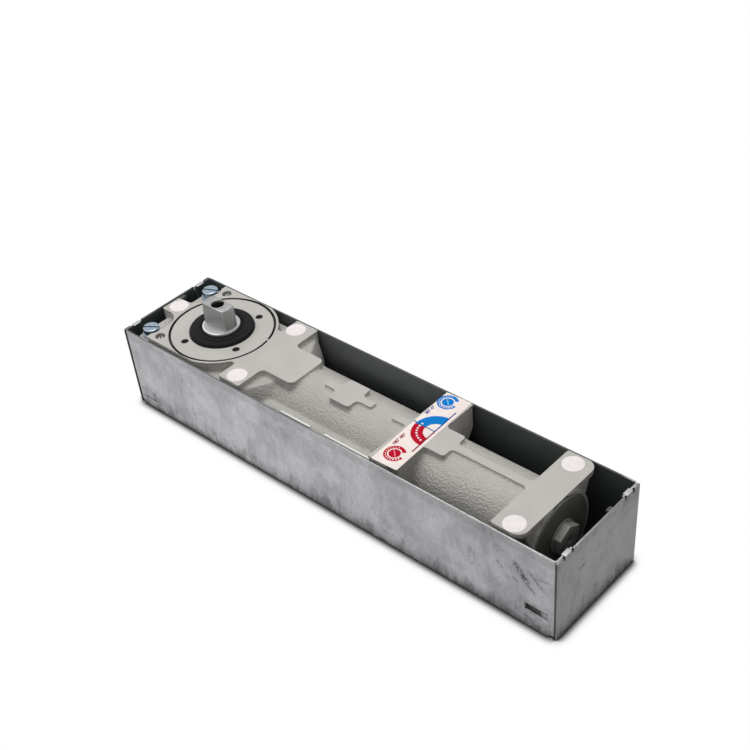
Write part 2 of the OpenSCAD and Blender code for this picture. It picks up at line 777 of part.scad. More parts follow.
module upper_bearing_outer() {
    color([0.7, 0.7, 0.72]) translate([0, 0, upper_bearing_z]) bearing_outer(upper_bearing);
}

module upper_bearing_inner() {
    color([0.7, 0.7, 0.72]) translate([0, 0, upper_bearing_z]) bearing_inner(upper_bearing);
}

module upper_bearing_balls() {
    color([0.8, 0.8, 0.82]) translate([0, 0, upper_bearing_z]) bearing_balls(upper_bearing);
}

module lower_bearing_outer() {
    color([0.7, 0.7, 0.72]) translate([0, 0, lower_bearing_z]) bearing_outer(lower_bearing);
}

module lower_bearing_inner() {
    color([0.7, 0.7, 0.72]) translate([0, 0, lower_bearing_z]) bearing_inner(lower_bearing);
}

module lower_bearing_balls() {
    color([0.8, 0.8, 0.82]) translate([0, 0, lower_bearing_z]) bearing_balls(lower_bearing);
}

// ---- Spindle with its heart-shaped cam ----

// Distance of the roller axis from the spindle axis when the spindle has turned by a degrees
function roller_path(a) = roller_x + cam_rise * a / 180;

// Cam edge where the roller rolls at a degrees: the roller path moved in by the roller radius
function cam_edge(a) =
    let (r = roller_path(a), slope = cam_rise * 180 / (180 * PI), len = sqrt(r * r + slope * slope),
         inset = roller_r + running, radial = r - inset * r / len, side = inset * slope / len)
    [radial * cos(a) - side * sin(a), radial * sin(a) + side * cos(a)];

module heart_cam_plan() {
    step = 3;
    last = 177;
    difference() {
        polygon([
            for (a = [0:step:last]) cam_edge(a),
            for (a = [last:-step:0]) [cam_edge(a)[0], -cam_edge(a)[1]]
        ]);
        translate([roller_x, 0]) circle(r = roller_r + running);
    }
}

module spindle() {
    color([0.6, 0.6, 0.6]) difference() {
        union() {
            intersection() {
                translate([0, 0, ledge_z]) cylinder(r1 = nose_r, r2 = nose_tip_r, h = spindle_top - ledge_z);
                translate([-collar_r, -nose_af / 2, ledge_z])
                    cube([2 * collar_r, nose_af, spindle_top - ledge_z]);
            }
            translate([0, 0, seal_z - 1]) cylinder(r = collar_r, h = ledge_z - seal_z + 1);
            translate([0, 0, upper_bearing_z]) cylinder(r = upper_bearing[0], h = upper_bearing[2] - 0.5);
            translate([0, 0, cam_z]) cylinder(r = shoulder_r, h = upper_bearing_z - cam_z);
            translate([0, 0, cam_z]) linear_extrude(cam_t) heart_cam_plan();
            translate([0, 0, lower_bearing_top])
                cylinder(r = shoulder_r - 0.5, h = cam_z - lower_bearing_top + eps);
            translate([0, 0, lower_bearing_z + 0.5]) cylinder(r = lower_bearing[0], h = lower_bearing[2]);
        }
        translate([roller_x, 0, cam_z - eps]) cylinder(r = roller_r + running, h = cam_t + 2 * eps);
        translate([0, 0, spindle_top - spindle_hole_l])
            cylinder(r = spindle_hole_r, h = spindle_hole_l + 1, $fn = 64);
    }
}

// ---- Piston with its roller and check valve ----

module piston() {
    color([0.55, 0.55, 0.56]) difference() {
        union() {
            along_barrel(head_x) cylinder(r = bore_r - running, h = piston_x1 - head_x);
            intersection() {
                along_barrel(0) cylinder(r = bore_r - running, h = head_x + 1);
                translate([0, 0, arm_z[0]]) linear_extrude(arm_z[1] - arm_z[0]) {
                    translate([roller_x, -arm_hw]) square([head_x - roller_x + 1, 2 * arm_hw]);
                    translate([shoulder_r + 1 + arm_hw, 0]) circle(r = arm_hw);
                }
            }
        }
        translate([0, -bore_r, axis_z - slot_h / 2]) cube([slot_x, 2 * bore_r, slot_h]);
        translate([roller_x, 0, 0]) cylinder(r = pin_r + press, h = body_top, $fn = 64);
        along_barrel(ring_x) difference() {
            cylinder(r = bore_r + 1, h = ring_size[1]);
            translate([0, 0, -1]) cylinder(r = bore_r - ring_size[0] - 0.1, h = ring_size[1] + 2);
        }
        along_barrel(slot_x - 1) cylinder(r = check_inlet_r, h = piston_l, $fn = 48);
        along_barrel(check_x) cylinder(r = check_bore_r, h = piston_l, $fn = 48);
    }
}

module piston_ring() {
    color([0.15, 0.15, 0.16]) along_barrel(ring_x + press)
        ring(bore_r - 0.03, bore_r - ring_size[0], ring_size[1] - 2 * press);
}

module cam_roller() {
    h = cam_t - 0.4;
    color([0.72, 0.72, 0.74]) translate([roller_x, 0, axis_z - h / 2]) ring(roller_r, pin_r + running, h);
}

module roller_pin() {
    color([0.66, 0.66, 0.68]) translate([roller_x, 0, arm_z[0] + 0.2])
        cylinder(r = pin_r, h = arm_z[1] - arm_z[0] - 0.4, $fn = 64);
}

module check_valve_sleeve() {
    color([0.75, 0.65, 0.35]) along_barrel(sleeve_x)
        ring(check_bore_r - press, check_bore_r / 2, piston_x1 - 1 - sleeve_x);
}

module check_valve_ball() {
    color([0.8, 0.8, 0.82]) translate([check_ball_x, 0, axis_z]) sphere(r = check_ball_r, $fn = 48);
}

// ---- Spring, adjuster and end cap ----

// Ring of points round the wire centre where the coil has turned by t turns
function wire_ring(t, x) = [
    for (k = [0:7])
        let (w = 45 * k, r = coil_r + wire_r * cos(w))
        [x + wire_r * sin(w), r * sin(360 * t), r * cos(360 * t)]
];

module closing_spring() {
    steps = 16;
    rings = coils * steps;
    x0 = piston_x1 + wire_r + 0.05;
    x1 = seat_x - wire_r - 0.05;
    points = [for (i = [0:rings]) each wire_ring(i / steps, x0 + (x1 - x0) * i / rings)];
    sides = [for (i = [0:rings - 1], k = [0:7])
        [i * 8 + k, i * 8 + (k + 1) % 8, (i + 1) * 8 + (k + 1) % 8, (i + 1) * 8 + k]];
    ends = [[for (k = [7:-1:0]) k], [for (k = [0:7]) rings * 8 + k]];
    color([0.35, 0.37, 0.4]) translate([0, 0, axis_z]) polyhedron(points, concat(sides, ends));
}

module spring_seat() {
    color([0.6, 0.58, 0.5]) difference() {
        union() {
            along_barrel(seat_x) cylinder(r = bore_r - running, h = seat_t);
            along_barrel(seat_x - spigot_l) cylinder(r = coil_r - wire_r - 0.4, h = spigot_l + eps);
        }
        along_barrel(seat_x - spigot_l - 1) cylinder(r = adjuster_r + running, h = spigot_l + seat_t + 2);
    }
}

module adjusting_screw() {
    color([0.3, 0.3, 0.29]) difference() {
        union() {
            along_barrel(screw_tip_x) cylinder(r = adjuster_r, h = end_cap_x - screw_tip_x);
            along_barrel(end_cap_x - collar_t) cylinder(r = stem_r + 3, h = collar_t - running);
            along_barrel(end_cap_x - collar_t) cylinder(r = stem_r, h = hex_face - end_cap_x + collar_t);
            along_barrel(hex_face) cylinder(r = hex_af / 2 + 2, h = hex_seat_t);
            along_barrel(hex_face + hex_seat_t - eps)
                cylinder(r = hex_af / 2 / cos(30), h = hex_h, $fn = 6);
        }
        along_barrel(hex_face + hex_seat_t + hex_h - 2) cylinder(r = 1.6, h = 3, $fn = 32);
    }
}

module end_cap() {
    color([0.22, 0.22, 0.21]) difference() {
        union() {
            along_barrel(end_cap_x) cylinder(r = cap_thread_r, h = end_cap_t);
            along_barrel(end_cap_x + end_cap_t - end_flange_t + press)
                cylinder(r = end_cap_r, h = end_flange_t - press);
        }
        along_barrel(end_cap_x - 1) cylinder(r = stem_r + running, h = end_cap_t + 2);
        along_barrel(end_cap_x + 3) difference() {
            cylinder(r = cap_thread_r + 1, h = oring_t);
            translate([0, 0, -1]) cylinder(r = cap_thread_r - 1.9, h = oring_t + 2);
        }
        along_barrel(end_cap_x + 4) cylinder(r = stem_r + 1.9, h = oring_t);
    }
}

module end_cap_oring() {
    color([0.1, 0.1, 0.1]) along_barrel(end_cap_x + 3 + oring_t / 2) oring(cap_thread_r - 0.95, 1.8);
}

module stem_oring() {
    color([0.1, 0.1, 0.1]) along_barrel(end_cap_x + 4 + oring_t / 2) oring(stem_r + 0.97, 1.8);
}

// ---- Regulating valves ----

module valve_screw(side) {
    top = body_top - valve_depth;
    color([0.72, 0.62, 0.36])
        translate([valve_at[0], side * valve_at[1], 0]) rotate([0, 0, 55]) difference() {
            union() {
                translate([0, 0, valve_seat_z + 1])
                    cylinder(r = valve_r - running, h = top - valve_seat_z - 1, $fn = 48);
                translate([0, 0, valve_seat_z - 1.5])
                    cylinder(r1 = 0.6, r2 = gallery_bore_r - running, h = 2.5 + eps, $fn = 48);
            }
            slotted_top(valve_r, top, 1.2, 2);
            translate([0, 0, valve_seat_z + 5]) rotate_extrude($fn = 48)
                translate([valve_r - 1.3, 0]) square([3, 1.8]);
        }
}

module valve_oring(side) {
    color([0.1, 0.1, 0.1])
        translate([valve_at[0], side * valve_at[1], valve_seat_z + 5.9]) oring(valve_r - 0.68, 1.2);
}

module swing_valve() {
    valve_screw(-1);
}

module swing_valve_oring() {
    valve_oring(-1);
}

module latch_valve() {
    valve_screw(1);
}

module latch_valve_oring() {
    valve_oring(1);
}

box_trough();
near_end_plate();
far_end_plate();
box_pillars();
closer_body();
bearing_cap();
cap_oring();
fixing_screws();
fixing_washers();
levelling_screws();
spindle();
spindle_seal();
upper_bearing_outer();
upper_bearing_inner();
upper_bearing_balls();
lower_bearing_outer();
lower_bearing_inner();
lower_bearing_balls();
piston();
piston_ring();
cam_roller();
roller_pin();
check_valve_sleeve();
check_valve_ball();
closing_spring();
spring_seat();
adjusting_screw();
end_cap();
end_cap_oring();
stem_oring();
swing_valve();
swing_valve_oring();
latch_valve();
latch_valve_oring();
hole_stickers();
dial_label();
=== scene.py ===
"""Looks of the floor spring door closer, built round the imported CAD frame. Metres, +Z up."""

import json
import math

import bmesh
import bpy
from mathutils import Matrix, Vector, noise

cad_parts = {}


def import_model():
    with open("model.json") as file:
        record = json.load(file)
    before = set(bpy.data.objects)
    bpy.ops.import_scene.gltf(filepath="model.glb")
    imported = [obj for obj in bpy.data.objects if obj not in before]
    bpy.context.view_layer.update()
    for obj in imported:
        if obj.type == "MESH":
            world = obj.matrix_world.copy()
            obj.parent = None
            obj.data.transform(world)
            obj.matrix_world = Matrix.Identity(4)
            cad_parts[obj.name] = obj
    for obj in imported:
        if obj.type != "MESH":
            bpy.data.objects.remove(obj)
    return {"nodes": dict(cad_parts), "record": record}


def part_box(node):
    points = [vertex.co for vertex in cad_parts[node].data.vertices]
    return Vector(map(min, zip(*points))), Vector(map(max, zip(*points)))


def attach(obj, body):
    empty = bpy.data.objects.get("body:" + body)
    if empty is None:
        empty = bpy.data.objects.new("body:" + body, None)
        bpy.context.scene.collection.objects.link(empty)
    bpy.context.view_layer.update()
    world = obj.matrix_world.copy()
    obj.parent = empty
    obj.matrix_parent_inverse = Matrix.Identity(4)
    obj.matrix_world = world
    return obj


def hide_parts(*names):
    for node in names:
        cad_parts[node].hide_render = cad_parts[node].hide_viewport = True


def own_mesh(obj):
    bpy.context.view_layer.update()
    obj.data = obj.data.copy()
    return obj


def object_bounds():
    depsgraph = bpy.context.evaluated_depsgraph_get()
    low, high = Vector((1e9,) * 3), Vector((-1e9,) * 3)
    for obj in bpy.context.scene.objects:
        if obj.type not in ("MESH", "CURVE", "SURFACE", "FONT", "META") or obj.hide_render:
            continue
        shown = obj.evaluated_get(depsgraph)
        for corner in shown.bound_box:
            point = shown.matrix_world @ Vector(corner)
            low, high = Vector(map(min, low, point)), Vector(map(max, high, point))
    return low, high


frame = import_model()
CAD_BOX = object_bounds()
NODES = frame["nodes"]
RECORD = frame["record"]

# ---- Places and sizes read from the frame ----

CAP_LO, CAP_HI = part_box("bearing_cap")
TOP = CAP_HI.z
CAP_R = CAP_HI.x
BODY_LO, BODY_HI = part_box("closer_body")
FACE_X = BODY_HI.x
END_LO, END_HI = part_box("end_cap")
AXIS_Z = (END_LO.z + END_HI.z) / 2
END_R = END_HI.y
BOX_LO, BOX_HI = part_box("box_trough")
NEAR_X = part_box("near_end_plate")[0].x
FAR_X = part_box("far_end_plate")[1].x
RIM_Z = BOX_HI.z
SHEET_T = BOX_LO.x - NEAR_X
LABEL_LO, LABEL_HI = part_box("dial_label")
LABEL_MIDDLE = (LABEL_LO + LABEL_HI) / 2

# ---- Sizes of the scene's own shapes, in metres ----

# The label lies a little further along the box and at another turn than in the CAD
LABEL_AT = LABEL_MIDDLE + Vector((0.0008, 0, 0))
LABEL_CAD_TURN = math.radians(-0.9)
LABEL_TURN = math.radians(2.3)
# Two flats milled on the front oil gallery's rib: their height and their ends along X
STRIP_Z = AXIS_Z + 0.0119
STRIPS = ((0.076, 0.1005), (0.112, 0.1475))
# Width of the groove round the bearing cap, which painted shade darkens
GROOVE_W = 0.0016
# Round scallops in the near lands, which go down to the tops of the fixing lugs
SCALLOP_X, SCALLOP_Y, SCALLOP_R = -0.0428, 0.0182, 0.011
LUG_DROP = 0.0054
# Slit-parted anchor tabs: hinge's X, way of the free end, tab's height, height of its middle,
# inward push; all have one length and one width of slit
ANCHOR_L, ANCHOR_SLIT = 0.0145, 0.0006
ANCHORS = (
    (BOX_LO.x + 0.0025, 1, 0.0075, 0.010, 0.0005),
    (BOX_HI.x - 0.0045, -1, 0.005, 0.0145, 0.0017),
)

# ---- The same places in millimetres, for the materials ----

MM = 0.001
TOP_MM = TOP / MM
CAP_R_MM = CAP_R / MM
RIM_MM = RIM_Z / MM
NEAR_MM = NEAR_X / MM
FAR_MM = FAR_X / MM
FRONT_MM = BOX_LO.y / MM
BACK_MM = BOX_HI.y / MM
THICK_MM = SHEET_T / MM
# Folded tabs at the rim: their middle's distance from the box's middle, half their width, depth
TAB_Y_MM, TAB_HALF_MM, TAB_DEEP_MM = 27.5, 2.75, 3.0


def named(entries, key, name):
    """The record's entry whose key has this name."""
    return next(e for e in entries if e[key] == name)


def islands(name, reach):
    """Centres and sizes of a node's separate solids, told apart by their distance."""
    groups = []
    for v in NODES[name].data.vertices:
        for g in groups:
            if (v.co - g[0]).length < reach:
                g.append(v.co)
                break
        else:
            groups.append([v.co])
    out = []
    for g in groups:
        lo = Vector([min(p[k] for p in g) for k in range(3)])
        hi = Vector([max(p[k] for p in g) for k in range(3)])
        out.append(((lo + hi) / 2, hi - lo))
    return out


# ---- Shader nodes ----


class Tree:
    """A material's node tree with short calls. Inputs are sockets or plain values."""

    def __init__(self, name):
        self.mat = bpy.data.materials.new(name)
        self.mat.use_nodes = True
        self.nodes = self.mat.node_tree.nodes
        self.links = self.mat.node_tree.links
        self.nodes.clear()
        self.out = self.nodes.new("ShaderNodeOutputMaterial")

    def add(self, kind, inputs=None, **props):
        n = self.nodes.new("ShaderNode" + kind)
        for k, v in props.items():
            setattr(n, k, v)
        for k, v in (inputs or {}).items():
            if isinstance(v, bpy.types.NodeSocket):
                self.links.new(v, n.inputs[k])
            else:
                n.inputs[k].default_value = v
        return n

    def math(self, op, a, b=0.0):
        return self.add("Math", {0: a, 1: b}, operation=op).outputs[0]

    def vector_math(self, op, inputs):
        return self.add("VectorMath", inputs, operation=op).outputs[0]

    def vector(self, x, y, z):
        return self.add("CombineXYZ", {0: x, 1: y, 2: z}).outputs[0]

    def place(self):
        """Position on the object in millimetres, and its three parts."""
        coord = self.add("TexCoord").outputs["Object"]
        mm = self.vector_math("SCALE", {0: coord, 3: 1000.0})
        parts = self.add("SeparateXYZ", {0: mm}).outputs
        return mm, parts[0], parts[1], parts[2]

    def from_axis(self, x, y):
        """Distance from the spindle's axis."""
        squares = self.math("ADD", self.math("MULTIPLY", x, x), self.math("MULTIPLY", y, y))
        return self.math("SQRT", squares)

    def stretched(self, mm, sx, sy, sz, turn=0.0):
        """Coordinates scaled along each axis and turned about Y."""
        return self.add(
            "Mapping", {0: mm, "Scale": (sx, sy, sz), "Rotation": (0, turn, 0)}
        ).outputs[0]

    def warped(self, vector, scale, reach):
        """Coordinates pushed about by noise, for shapes without straight edges."""
        push = self.add(
            "TexNoise", {"Vector": vector, "Scale": scale, "Detail": 2.0}
        ).outputs["Color"]
        push = self.vector_math("SUBTRACT", {0: push, 1: (0.5, 0.5, 0.5)})
        push = self.vector_math("SCALE", {0: push, 3: reach})
        return self.vector_math("ADD", {0: vector, 1: push})

    def noise(self, vector, scale, detail=3.0, rough=0.5):
        return self.add(
            "TexNoise",
            {"Vector": vector, "Scale": scale, "Detail": detail, "Roughness": rough},
        ).outputs["Fac"]

    def grain(self, mm, size, detail=3.0, rough=0.5):
        """Noise of the same size in all directions."""
        return self.noise(self.stretched(mm, size, size, size), 1.0, detail, rough)

    def ramp(self, value, lo, hi, out_lo=0.0, out_hi=1.0):
        """Smooth step from out_lo at lo to out_hi at hi."""
        return self.add(
            "MapRange",
            {0: value, 1: lo, 2: hi, 3: out_lo, 4: out_hi},
            interpolation_type="SMOOTHSTEP",
        ).outputs[0]

    def fall(self, value, lo, hi):
        """1 below lo, 0 above hi."""
        return self.ramp(value, lo, hi, 1.0, 0.0)

    def band(self, value, lo, hi, soft):
        """1 between lo and hi."""
        up = self.ramp(value, lo - soft, lo + soft)
        down = self.fall(value, hi - soft, hi + soft)
        return self.math("MULTIPLY", up, down)

    def all_of(self, *masks):
        total = masks[0]
        for m in masks[1:]:
            total = self.math("MULTIPLY", total, m)
        return total

    def mix(self, fac, a, b, how="MIX"):
        n = self.add("Mix", data_type="RGBA", blend_type=how)
        for socket, v in ((n.inputs[0], fac), (n.inputs[6], a), (n.inputs[7], b)):
            if isinstance(v, bpy.types.NodeSocket):
                self.links.new(v, socket)
            else:
                socket.default_value = v
        return n.outputs[2]

    def grey(self, level):
        return self.add("CombineColor", {0: level, 1: level, 2: level}).outputs[0]

    def shaded(self, color, level):
        """Colour times a grey level."""
        return self.mix(1.0, color, self.grey(level), "MULTIPLY")

    def dimmed(self, color, mask, amount):
        """Colour darkened by amount where mask is 1."""
        return self.shaded(color, self.math("SUBTRACT", 1.0, self.math("MULTIPLY", mask, amount)))

    def bump(self, height, strength, distance):
        return self.add(
            "Bump", {"Height": height, "Strength": strength, "Distance": distance}
        ).outputs[0]

    def surface(self, color, rough, metal, normal, **more):
        inputs = {"Base Color": color, "Roughness": rough, "Metallic": metal, "Normal": normal}
        inputs.update({k.replace("_", " "): v for k, v in more.items()})
        bsdf = self.add("BsdfPrincipled", inputs)
        self.links.new(bsdf.outputs[0], self.out.inputs[0])
        return self.mat


def rgb(r, g, b):
    """Linear colour of an sRGB triple from 0 to 255."""

    def lin(c):
        c /= 255
        return c / 12.92 if c <= 0.04045 else ((c + 0.055) / 1.055) ** 2.4

    return (lin(r), lin(g), lin(b), 1.0)


# ---- Galvanised sheet of the box ----

SHEET_LIGHT = rgb(208, 206, 209)
SHEET_DARK = rgb(172, 170, 174)

# Stains on the front wall: distance of both ends from the spring end, foot, head, depth of tone
STAINS = (
    (57.5, 53.5, 23, 36, 0.5),
    (51, 49.5, 31, 34, 0.5),
    (40, 33, 44, 49, 0.4),
    (24, 8, 6, 20, 0.3),
)
# Slanted smears there: distance from the spring end, height, half length, half width,
# turn in degrees, depth of tone
SMEARS = (
    (23.5, 39.0, 7.5, 3.4, -50, 0.7),
    (19.5, 34.2, 4.0, 3.0, -20, 0.75),
    (13.0, 37.0, 8.5, 1.8, -42, 0.45),
    (17.0, 29.8, 6.0, 1.7, -40, 0.7),
    (26.0, 30.0, 3.0, 1.4, -30, 0.6),
    (36.5, 35.5, 3.6, 1.3, -45, 0.6),
    (8.5, 40.0, 6.0, 1.0, 15, 0.4),
)


def foot_streaks(t, color, x, y, z):
    """Flame shaped streaks that climb from the foot of the walls, and broad smears."""
    along = t.math("ADD", x, y)
    flame_at = t.vector(along, 0.0, t.math("MULTIPLY", z, 0.4))
    flame = t.noise(t.warped(flame_at, 0.12, 9.0), 0.16, 4, 0.7)
    flame = t.math("SUBTRACT", flame, t.math("MULTIPLY", z, 0.011))
    color = t.dimmed(color, t.ramp(flame, 0.36, 0.6), 0.42)
    smear_at = t.vector(along, 3.0, t.math("MULTIPLY", z, 0.35))
    smear = t.noise(t.warped(smear_at, 0.1, 12.0), 0.09, 4, 0.6)
    return t.dimmed(color, t.ramp(smear, 0.5, 0.75), 0.2)


def turned_place(t, x, z, x0, z0, turn):
    """Coordinates along and across a line through x0, z0 that is turned by turn."""
    dx, dz = t.math("SUBTRACT", x, x0), t.math("SUBTRACT", z, z0)
    cos, sin = math.cos(turn), math.sin(turn)
    along = t.math("ADD", t.math("MULTIPLY", dx, cos), t.math("MULTIPLY", dz, sin))
    across = t.math("SUBTRACT", t.math("MULTIPLY", dz, cos), t.math("MULTIPLY", dx, sin))
    return along, across


def front_stains(t, color, x, y, z, patchy, speck):
    """Dark stains and smears on the front wall near the spring end."""
    front = t.fall(y, FRONT_MM + 0.3, FRONT_MM + 0.6)
    for dx0, dx1, z0, z1, depth in STAINS:
        spot = t.all_of(
            t.band(x, FAR_MM - dx0, FAR_MM - dx1, 2.0), t.band(z, z0, z1, 2.0),
            t.ramp(patchy, 0.44, 0.56), front,
        )
        color = t.dimmed(color, spot, depth)
    for dx, z0, long, wide, turn, depth in SMEARS:
        along, across = turned_place(t, x, z, FAR_MM - dx, z0, math.radians(turn))
        smudge = t.all_of(
            t.fall(t.math("ABSOLUTE", along), long / 2, long),
            t.fall(t.math("ABSOLUTE", across), 0.0, wide),
            t.ramp(speck, 0.38, 0.52), front,
        )
        color = t.dimmed(color, smudge, depth)
    return color


def scratches(t, color, mm, patchy):
    """Thin scratches in two directions."""
    for turn, shift, depth in ((0.9, 0.0, 0.2), (-0.6, 40.0, 0.14)):
        slant = t.stretched(mm, 1.1, 1.1, 0.02, turn)
        lines = t.noise(t.vector_math("ADD", {0: slant, 1: (shift, 0, 0)}), 1.0, 1)
        thin = t.all_of(t.ramp(lines, 0.7, 0.76), t.ramp(patchy, 0.5, 0.7))
        color = t.dimmed(color, thin, depth)
    return color


def paint_inside_shade(t, color, x, y, z):
    """Painted shade inside the box: the walls darkened, with a painted pool of light along the
    upper middle.
    """
    half = THICK_MM / 2
    inner = t.all_of(
        t.band(y, FRONT_MM + half, BACK_MM - half, 0.2),
        t.band(x, NEAR_MM + half, FAR_MM - half, 0.2),
        t.fall(z, RIM_MM - 0.4, RIM_MM - 0.15),
    )
    # Painted light: a lighter pool along the upper middle of the inner walls
    lighter = t.all_of(t.band(x, 20.0, 150.0, 40.0), t.ramp(z, 25.0, 50.0))
    inside = t.mix(lighter, rgb(72, 77, 76), rgb(98, 102, 102))
    return t.mix(inner, color, inside)


def cut_rim(t, color, mm, x, y, z):
    """Cut rim: a painted highlight along the front and the spring end, grey elsewhere with
    painted shade towards the back, darker on the end plates. The folded tabs are bright where
    they were beaten over."""
    # Painted highlight along the front and the spring end of the rim
    bright = t.all_of(
        t.ramp(x, 100.0, 150.0),
        t.math("MAXIMUM", t.fall(y, 0.0, 10.0), t.ramp(x, FAR_MM - 12, FAR_MM - 4)),
    )
    patched = t.ramp(t.noise(mm, 0.5, 3, 0.7), 0.42, 0.6, 0.6, 1.0)
    # Grey cut edge, with painted shade towards the back of the rim
    grey_rim_and_shade = t.mix(t.ramp(y, 20.0, 30.0), rgb(104, 106, 107), rgb(78, 80, 81))
    rim = t.mix(t.math("MULTIPLY", bright, patched), grey_rim_and_shade, rgb(172, 172, 171))
    plate = t.math(
        "MAXIMUM",
        t.ramp(x, FAR_MM - THICK_MM + 0.1, FAR_MM - THICK_MM + 0.3),
        t.fall(x, NEAR_MM + THICK_MM - 0.3, NEAR_MM + THICK_MM - 0.1),
    )
    rim = t.dimmed(rim, plate, 0.4)
    folded = t.all_of(
        t.band(t.math("ABSOLUTE", y), TAB_Y_MM - TAB_HALF_MM - 0.1,
               TAB_Y_MM + TAB_HALF_MM + 0.1, 0.1),
        t.math("MAXIMUM", t.ramp(x, FAR_MM - TAB_DEEP_MM - 0.2, FAR_MM - TAB_DEEP_MM),
               t.fall(x, NEAR_MM + TAB_DEEP_MM, NEAR_MM + TAB_DEEP_MM + 0.2)),
    )
    tabs = t.mix(t.ramp(x, 0.0, 10.0), rgb(180, 180, 180), rgb(172, 172, 173))
    rim = t.mix(folded, rim, tabs)
    return t.mix(t.ramp(z, RIM_MM - 0.3, RIM_MM - 0.1), color, rim)


def open_seams(t, color, x, y, z):
    """Open seams between the trough and the end plates, with the plates' dark edges."""
    seam = t.all_of(
        t.math("MAXIMUM", t.band(x, NEAR_MM + 0.2, NEAR_MM + THICK_MM + 0.25, 0.1),
               t.band(x, FAR_MM - THICK_MM - 0.4, FAR_MM - 0.2, 0.1)),
        t.ramp(t.math("ABSOLUTE", y), BACK_MM - 1.4, BACK_MM - 1.2),
        t.fall(z, RIM_MM - 0.9, RIM_MM - 0.5),
    )
    return t.dimmed(color, seam, 0.9)


def sheet_material():
    """Galvanised sheet: mottled, streaked at the foot, stained, with painted shade inside, on the
    spring end and towards it, and a cut rim with a painted highlight.
    """
    t = Tree("galvanised_sheet")
    mm, x, y, z = t.place()
    bent = t.warped(mm, 0.07, 16.0)
    broad = t.noise(bent, 0.03, 4, 0.6)
    mottle = t.noise(t.stretched(bent, 0.2, 0.2, 0.09, 0.6), 1.0, 5, 0.65)
    strokes = t.noise(t.stretched(bent, 0.8, 0.8, 0.22, 0.6), 1.0, 4, 0.6)
    fine = t.noise(mm, 0.9, 4, 0.7)
    patchy = t.noise(t.stretched(t.warped(mm, 0.3, 3.0), 0.5, 0.5, 0.3, -0.6), 1.0, 4, 0.75)
    speck = t.grain(t.warped(mm, 0.5, 1.5), 0.9, 3, 0.7)
    end = t.ramp(x, FAR_MM - 0.4, FAR_MM - 0.1)
    cloud = t.math("ADD", t.math("MULTIPLY", broad, 0.6), t.math("MULTIPLY", mottle, 0.4))
    color = t.mix(t.ramp(cloud, 0.36, 0.64), SHEET_DARK, SHEET_LIGHT)
    color = t.dimmed(color, t.ramp(fine, 0.35, 0.8), 0.1)
    # Painted shade: the sheet darkens towards the spring end
    color = t.dimmed(color, t.ramp(x, 60.0, 290.0), 0.17)
    color = t.dimmed(color, t.ramp(strokes, 0.5, 0.7), 0.13)
    # Painted shade: the spring end plate's outer face is darkened
    color = t.dimmed(color, end, 0.42)
    color = foot_streaks(t, color, x, y, z)
    under_rim = t.all_of(t.band(z, RIM_MM - 6, RIM_MM - 0.9, 1.5), t.ramp(mottle, 0.35, 0.6))
    color = t.dimmed(color, under_rim, 0.22)
    color = front_stains(t, color, x, y, z, patchy, speck)
    burr = t.all_of(
        end, t.band(y, -18.5, -12.5, 0.8), t.band(z, 37.6, 39.6, 0.6), t.ramp(speck, 0.42, 0.56)
    )
    color = t.dimmed(color, burr, 0.7)
    color = scratches(t, color, mm, patchy)
    color = paint_inside_shade(t, color, x, y, z)
    color = cut_rim(t, color, mm, x, y, z)
    color = open_seams(t, color, x, y, z)
    rough = t.ramp(mottle, 0.3, 0.7, 0.42, 0.6)
    height = t.math("ADD", t.math("MULTIPLY", broad, 2.0), t.math("MULTIPLY", fine, 0.3))
    return t.surface(color, rough, 0.55, t.bump(height, 0.25, 0.0006))


# ---- Other materials ----


def cast_material():
    """Light grey paint: orange peel on the sand cast flanks, smooth on the milled lands, with
    painted shade in the groove round the cap and a painted highlight on the milled flats.
    """
    t = Tree("cast_grey")
    mm, x, y, z = t.place()
    strip_z = STRIP_Z / MM
    strip = t.all_of(t.band(z, strip_z - 0.1, strip_z + 0.1, 0.05), t.fall(y, -24.4, -24.0))
    milled = t.math("MAXIMUM", t.band(z, TOP_MM - 0.06, TOP_MM + 1, 0.03), strip)
    broad = t.grain(mm, 0.05)
    peel = t.grain(mm, 0.75, 2, 0.55)
    grit = t.grain(mm, 3.0, 2)
    color = t.mix(milled, rgb(188, 185, 179), rgb(185, 182, 177))
    color = t.shaded(color, t.ramp(broad, 0.3, 0.7, 0.95, 1.03))
    # Painted shade in the groove round the cap
    groove_shade = t.all_of(
        t.band(t.from_axis(x, y), CAP_R_MM + 0.02, CAP_R_MM + GROOVE_W / MM + 0.05, 0.04),
        t.band(z, TOP_MM - 9, TOP_MM - 0.12, 0.08),
    )
    color = t.dimmed(color, groove_shade, 0.95)
    # Painted highlight: the milled flats are painted far lighter than the paint round them
    color = t.mix(strip, color, rgb(228, 227, 223))
    height = t.math("ADD", peel, t.math("MULTIPLY", grit, 0.22))
    height = t.math("MULTIPLY", height, t.math("SUBTRACT", 1.0, milled))
    rough = t.math("ADD", 0.44, t.math("MULTIPLY", milled, 0.18))
    return t.surface(color, rough, 0.0, t.bump(height, 1.0, 0.001))


def cap_material():
    """Turned cap in the same paint, with painted shade below its top: in its key holes and down
    its side.
    """
    t = Tree("cap_grey")
    mm, _, _, z = t.place()
    color = t.shaded(rgb(186, 183, 178), t.ramp(t.grain(mm, 0.06), 0.3, 0.7, 0.97, 1.02))
    # Painted shade on the cap below its top: down its side and in the key holes
    color = t.dimmed(color, t.fall(z, TOP_MM - 0.6, TOP_MM - 0.25), 0.9)
    return t.surface(color, 0.55, 0.0, t.bump(t.grain(mm, 0.9), 0.15, 0.0002))


